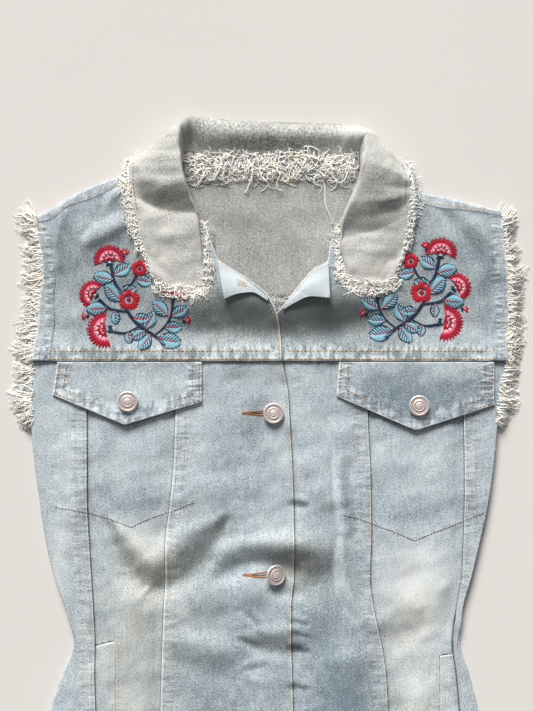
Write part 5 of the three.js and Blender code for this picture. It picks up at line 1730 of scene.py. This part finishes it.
class VEST_OT_embroidery(VestOperator, bpy.types.Operator):
    """A flowering branch in satin stitch, mirrored on the two yokes"""
    bl_idname = "vest.embroidery"
    bl_label = "Embroidery"

    # Own layout, in millimetres from the branch's foot on the left yoke. Mirrored for the right one.
    STEM_THREADS = (
        # x and y from the stem's line, look, rise, thickness
        (-0.7, -0.42, "navy", 0.4, 0.5), (0, 0, "navy", 0.4, 0.5), (0.7, 0.42, "navy", 0.4, 0.5),
        # The teal thread along one side paints the lit side of each stem.
        (1.2, 0.7, "teal", 0.3, 0.35),
    )
    STEMS = (
        ((4, 0), (-6, 8), (-18, 16), (-28, 28), (-34, 42), (-40, 56), (-42, 68)),
        ((-6, 8), (4, 17), (9, 28), (10, 38)),
        ((-28, 28), (-42, 30), (-52, 38)),
        ((-34, 42), (-24, 52), (-20, 60)),
        ((-18, 16), (-32, 10), (-44, 12)),
    )
    CARNATIONS = ((-43, 70, 12.5, 96), (-56, 42, 11.5, 150), (-46, 13, 14.5, 188), (11, 42, 10, 70))
    BLOSSOMS = ((-27, 38, 9.5), (-18, 64, 7.0))
    BUDS = ((-31, 75, 5.5, 70), (20, 20, 5.0, 20), (-62, 24, 4.6, 175))
    LEAVES = (
        (-4, 6, 16, 2), (-8, 9, -18, -3), (-14, 13, -6, 27), (2, 15, 17, 15), (8, 24, 22, 31), (6, 24, -6, 36),
        (-24, 22, -10, 22), (-32, 36, -46, 50), (-35, 44, -21, 47), (-39, 54, -56, 58), (-40, 58, -26, 66),
        (-38, 29, -38, 18), (-28, 12, -26, 2), (-22, 55, -8, 52), (-44, 31, -62, 30), (-12, 12, -24, 6),
    )

    def build(self, context):
        rng = np.random.default_rng(77)
        for side, foot, mirror in (("left", (-92, 4), 1), ("right", (97, 10), -1)):
            self.strands = []
            self.foot, self.mirror, self.side = foot, mirror, side
            for stem in self.STEMS:
                self.stem(stem)
            for leaf in self.LEAVES:
                self.leaf(*leaf)
            for carnation in self.CARNATIONS:
                self.carnation(*carnation, rng)
            for blossom in self.BLOSSOMS:
                self.blossom(*blossom, rng)
            for bud in self.BUDS:
                self.bud(*bud, rng)
            threads("embroidery_" + side, self.strands, EMBROIDERY)

    def stitch(self, x0, y0, x1, y1, look, rise=0.35, thick=0.42):
        """One satin stitch from a point to another, given in the branch's own millimetres."""
        t = np.array([0, 0.5, 1])
        x = (self.foot[0] + self.mirror * mix(x0, x1, t)) * MM
        y = (self.foot[1] + mix(y0, y1, t)) * MM
        z = yoke_level(x, y, self.side) + CLOTH / 2 + np.array([0.1, rise + 0.15, 0.1]) * MM
        self.strands.append((np.column_stack([x, y, z]), np.array([0.7, 1, 0.7]) * thick * MM,
                             EMBROIDERY.index(look)))

    def stem(self, points):
        points = np.array(points, float)
        lengths = lengths_along(points)
        for start in np.arange(0, lengths[-1], 1.5):
            a, b = ([run(lengths, column, here)[0] for column in points.T] for here in (start, start + 2.6))
            for dx, dy, look, rise, thick in self.STEM_THREADS:
                self.stitch(a[0] + dx, a[1] + dy, b[0] + dx, b[1] + dy, look, rise, thick)

    def leaf(self, x0, y0, x1, y1):
        """Slanting stitches either side of a red rib, sky blue with some navy, in a navy outline."""
        base, tip = np.array([x0, y0], float), np.array([x1, y1], float)
        spine = tip - base
        length = np.linalg.norm(spine)
        ahead = spine / length
        aside = np.array([-ahead[1], ahead[0]])
        steps = np.arange(0.06, 1.0, 0.85 / length)
        for count, t in enumerate(steps):
            width = 0.29 * length * math.sin(math.pi * t**0.8) + 0.4
            root = base + spine * t
            for way, looks in ((1, ("navy", "sky", "sky")), (-1, ("sky", "sky", "sky"))):
                end = root + aside * way * width + ahead * width * 0.8
                self.stitch(*root, *end, looks[count % 3], 0.3, 0.46)
        for t in np.arange(0.0, 0.75, 2.4 / length):
            a, b = base + spine * t, base + spine * min(1, t + 2.8 / length)
            self.stitch(*a, *b, "scarlet", 0.7, 0.42)
        rim = [base + spine * t + aside * way * (0.31 * length * math.sin(math.pi * t**0.8) + 0.3) + spine * 0.1
               for way in (1, -1) for t in np.linspace(0, 0.92, 9)]
        for k in (*range(0, 8), *range(9, 17)):
            self.stitch(*rim[k], *rim[k + 1], "navy", 0.55, 0.5 if k < 9 else 0.34)

    def fan(self, x, y, inner, outer, turn, sweep, look, rng, thick=0.5, rise=0.4):
        """Stitches that spread from a centre over a sweep of directions, with a ragged outer edge."""
        count = max(3, round(math.radians(sweep) * outer))
        for k in range(count + 1):
            angle = math.radians(turn - sweep / 2 + sweep * k / count)
            reach = outer * (0.88 + 0.12 * math.cos(k * 1.9)) + rng.normal(0, 0.2)
            c, s = math.cos(angle), math.sin(angle)
            self.stitch(x + c * inner, y + s * inner, x + c * reach, y + s * reach, look, rise, thick)

    def carnation(self, x, y, radius, turn, rng):
        """Layers of ragged petals that open one way from a calyx, with pale stitches between them."""
        for lean in (-80, -48, -16, 16, 48, 80):
            petal = math.radians(turn + lean)
            px, py = x + 0.4 * radius * math.cos(petal), y + 0.4 * radius * math.sin(petal)
            self.fan(px, py, 0.18 * radius, 0.72 * radius, turn + lean, 62, "crimson", rng, rise=0.4)
            self.fan(px, py, 0.05 * radius, 0.42 * radius, turn + lean, 70, "pink", rng, rise=0.6)
        self.fan(x, y, 0.0, 0.56 * radius, turn, 170, "crimson", rng, rise=0.8)
        for lean in (-72, -44, -15, 15, 44, 72):
            self.fan(x, y, 0.42 * radius, 0.74 * radius, turn + lean, 13, "blush", rng, rise=0.95, thick=0.4)
        for lean in (-40, 0, 40):
            self.fan(x, y, 0.15 * radius, 0.40 * radius, turn + lean, 20, "blush", rng, rise=1.1, thick=0.4)
        self.fan(x, y, 0.0, 0.42 * radius, turn + 180, 76, "navy", rng, rise=0.5)
        self.fan(x, y, 0.02 * radius, 0.26 * radius, turn + 180, 60, "sky", rng, rise=0.9)

    def blossom(self, x, y, radius, rng):
        for k in range(5):
            petal = math.radians(90 + 72 * k)
            px, py = x + 0.42 * radius * math.cos(petal), y + 0.42 * radius * math.sin(petal)
            self.fan(px, py, 0.0, 0.62 * radius, 90 + 72 * k, 210, "scarlet", rng, rise=0.5)
            self.fan(px, py, 0.0, 0.3 * radius, 90 + 72 * k, 120, "crimson", rng, rise=0.65)
        self.fan(x, y, 0.0, 0.2 * radius, 0, 360, "crimson", rng, rise=0.8)

    def bud(self, x, y, radius, turn, rng):
        self.fan(x, y, 0.0, radius, turn, 84, "scarlet", rng, rise=0.4)
        self.fan(x, y, 0.2 * radius, 0.6 * radius, turn, 30, "blush", rng, rise=0.6)
        self.fan(x, y, 0.0, 0.55 * radius, turn + 180, 100, "navy", rng, rise=0.5)


class VEST_OT_buttons(VestOperator, bpy.types.Operator):
    """Cast metal buttons with a rim, a ring of beads and a plain boss"""
    bl_idname = "vest.buttons"
    bl_label = "Buttons"

    OUTLINE = (
        # radius share, height in millimetres, hollow
        (0.36, 0, 1), (0.36, 1.9, 1), (0.86, 2.1, 0.6), (0.97, 2.5, 0.1), (1, 3.1, 0), (0.97, 3.8, 0),
        (0.9, 4.25, 0), (0.84, 4.15, 0.3), (0.8, 3.75, 0.9), (0.62, 3.75, 0.8), (0.57, 4.0, 0.5),
        (0.53, 4.35, 0.1), (0.48, 4.4, 0), (0.43, 4.1, 0.6), (0.38, 4.0, 0.8), (0.3, 4.35, 0.2),
        (0.16, 4.6, 0), (0, 4.7, 0),
    )
    BEADS = (
        # count, radius share of their ring, height in millimetres, size, stretch
        (26, 0.715, 3.85, 0.05, (1, 1, 1)),
        (9, 0.27, 4.45, 0.06, (1.6, 0.8, 0.6)),
    )

    def build(self, context):
        radius = context.scene.vest_sewing.button_radius
        for name, (x, y, lean) in BUTTONS.items():
            self.button(name, x * MM, y * MM, lean, radius)

    def button(self, name, x, y, lean, radius):
        place = np.array([x]), np.array([y])
        on_flap = "flap" in name
        level = front_level(*place) + FLAP_RAISE if on_flap else front_level(*place, "left")
        base = float(level[0]) + CLOTH / 2 + 0.3 * MM
        bm = bmesh.new()
        hollow = bm.verts.layers.float.new("hollow")
        line = []
        for share, height, dark in self.OUTLINE:
            vert = bm.verts.new((share * radius, 0, height * MM))
            vert[hollow] = dark
            line.append(vert)
        edges = [bm.edges.new(pair) for pair in zip(line[:-1], line[1:])]
        bmesh.ops.spin(bm, geom=line + edges, cent=(0, 0, 0), axis=(0, 0, 1), angle=2 * math.pi, steps=40,
                       use_merge=True)
        bmesh.ops.remove_doubles(bm, verts=bm.verts, dist=1e-6)
        foot = [e for e in bm.edges if e.is_boundary]
        bmesh.ops.contextual_create(bm, geom=foot)
        bmesh.ops.recalc_face_normals(bm, faces=bm.faces)
        for count, away, height, size, shape in self.BEADS:
            for k in range(count):
                spin = Matrix.Rotation(2 * math.pi * k / count, 4, "Z")
                spot = spin @ Matrix.Translation((away * radius, 0, height * MM)) @ Matrix.Diagonal((*shape, 1))
                bmesh.ops.create_icosphere(bm, subdivisions=1, radius=size * radius, matrix=spot)
        tilt = Matrix.Rotation(math.radians(lean), 4, "Y")
        lift = (2.2 if lean else 0) * MM
        bmesh.ops.transform(bm, matrix=Matrix.Translation((x, y, base + lift)) @ tilt, verts=bm.verts)
        mesh = bpy.data.meshes.new(name + "_metal")
        bm.to_mesh(mesh)
        bm.free()
        add_piece(name + "_metal", mesh, ["button metal"], [name])


class VEST_OT_stage(VestOperator, bpy.types.Operator):
    """Floor, low window light from the upper left and the camera straight above"""
    bl_idname = "vest.stage"
    bl_label = "Stage"

    SKY, SKY_STRENGTH = srgb(244, 246, 250), 0.23
    DAYLIGHT, STRENGTH, SOFTNESS = (1.0, 0.985, 0.965), 5.3, math.radians(26)
    DIRECTION = (0.22, -0.94, -0.53)
    SENSOR, CLOTH_HEIGHT, AIM = 36, 8 * MM, (-4.6 * MM, -4.6 * MM)

    def build(self, context):
        stage = context.scene.vest_stage
        bm = bmesh.new()
        bmesh.ops.create_grid(bm, x_segments=1, y_segments=1, size=4)
        mesh = bpy.data.meshes.new("floor")
        bm.to_mesh(mesh)
        bm.free()
        floor = bpy.data.objects.new("floor", mesh)
        mesh.materials.append(matt("floor paint", stage.floor))
        context.collection.objects.link(floor)
        world = bpy.data.worlds.new("room")
        context.scene.world = world
        world.use_nodes = True
        background = world.node_tree.nodes["Background"]
        background.inputs["Color"].default_value = (*self.SKY, 1)
        background.inputs["Strength"].default_value = self.SKY_STRENGTH * stage.light
        data = bpy.data.lights.new("window", "SUN")
        data.angle, data.energy, data.color = self.SOFTNESS, self.STRENGTH * stage.light, self.DAYLIGHT
        lamp = bpy.data.objects.new("window", data)
        lamp.rotation_euler = Vector(self.DIRECTION).to_track_quat("-Z", "Y").to_euler()
        context.collection.objects.link(lamp)
        camera = bpy.data.objects.new("camera", bpy.data.cameras.new("camera"))
        camera.data.sensor_width = self.SENSOR
        camera.data.lens = self.SENSOR * (stage.camera_height - self.CLOTH_HEIGHT) / stage.frame_height
        camera.location = (*self.AIM, stage.camera_height)
        context.collection.objects.link(camera)
        context.scene.camera = camera
        context.scene.view_settings.view_transform = "Standard"


OPERATORS = (
    VEST_OT_stage, VEST_OT_back, VEST_OT_front, VEST_OT_yokes, VEST_OT_flaps, VEST_OT_collar, VEST_OT_sewing,
    VEST_OT_fray, VEST_OT_embroidery, VEST_OT_buttons,
)


class VEST_PT_panel(bpy.types.Panel):
    bl_label = "Denim vest"
    bl_idname = "VEST_PT_panel"
    bl_space_type = "VIEW_3D"
    bl_region_type = "UI"
    bl_category = "Vest"

    def draw(self, context):
        for operator in OPERATORS:
            self.layout.operator(operator.bl_idname)


GROUPS = {"vest_cloth": VestCloth, "vest_sewing": VestSewing, "vest_fray": VestFray, "vest_stage": VestStage}


def register():
    for cls in (*GROUPS.values(), *OPERATORS, VEST_PT_panel):
        bpy.utils.register_class(cls)
    for name, group in GROUPS.items():
        setattr(bpy.types.Scene, name, bpy.props.PointerProperty(type=group))


def unregister():
    for name in GROUPS:
        delattr(bpy.types.Scene, name)
    for cls in reversed((*GROUPS.values(), *OPERATORS, VEST_PT_panel)):
        bpy.utils.unregister_class(cls)


def main():
    register()
    for operator in OPERATORS:
        group, name = operator.bl_idname.split(".")
        getattr(getattr(bpy.ops, group), name)()


if __name__ == "__main__":
    main()
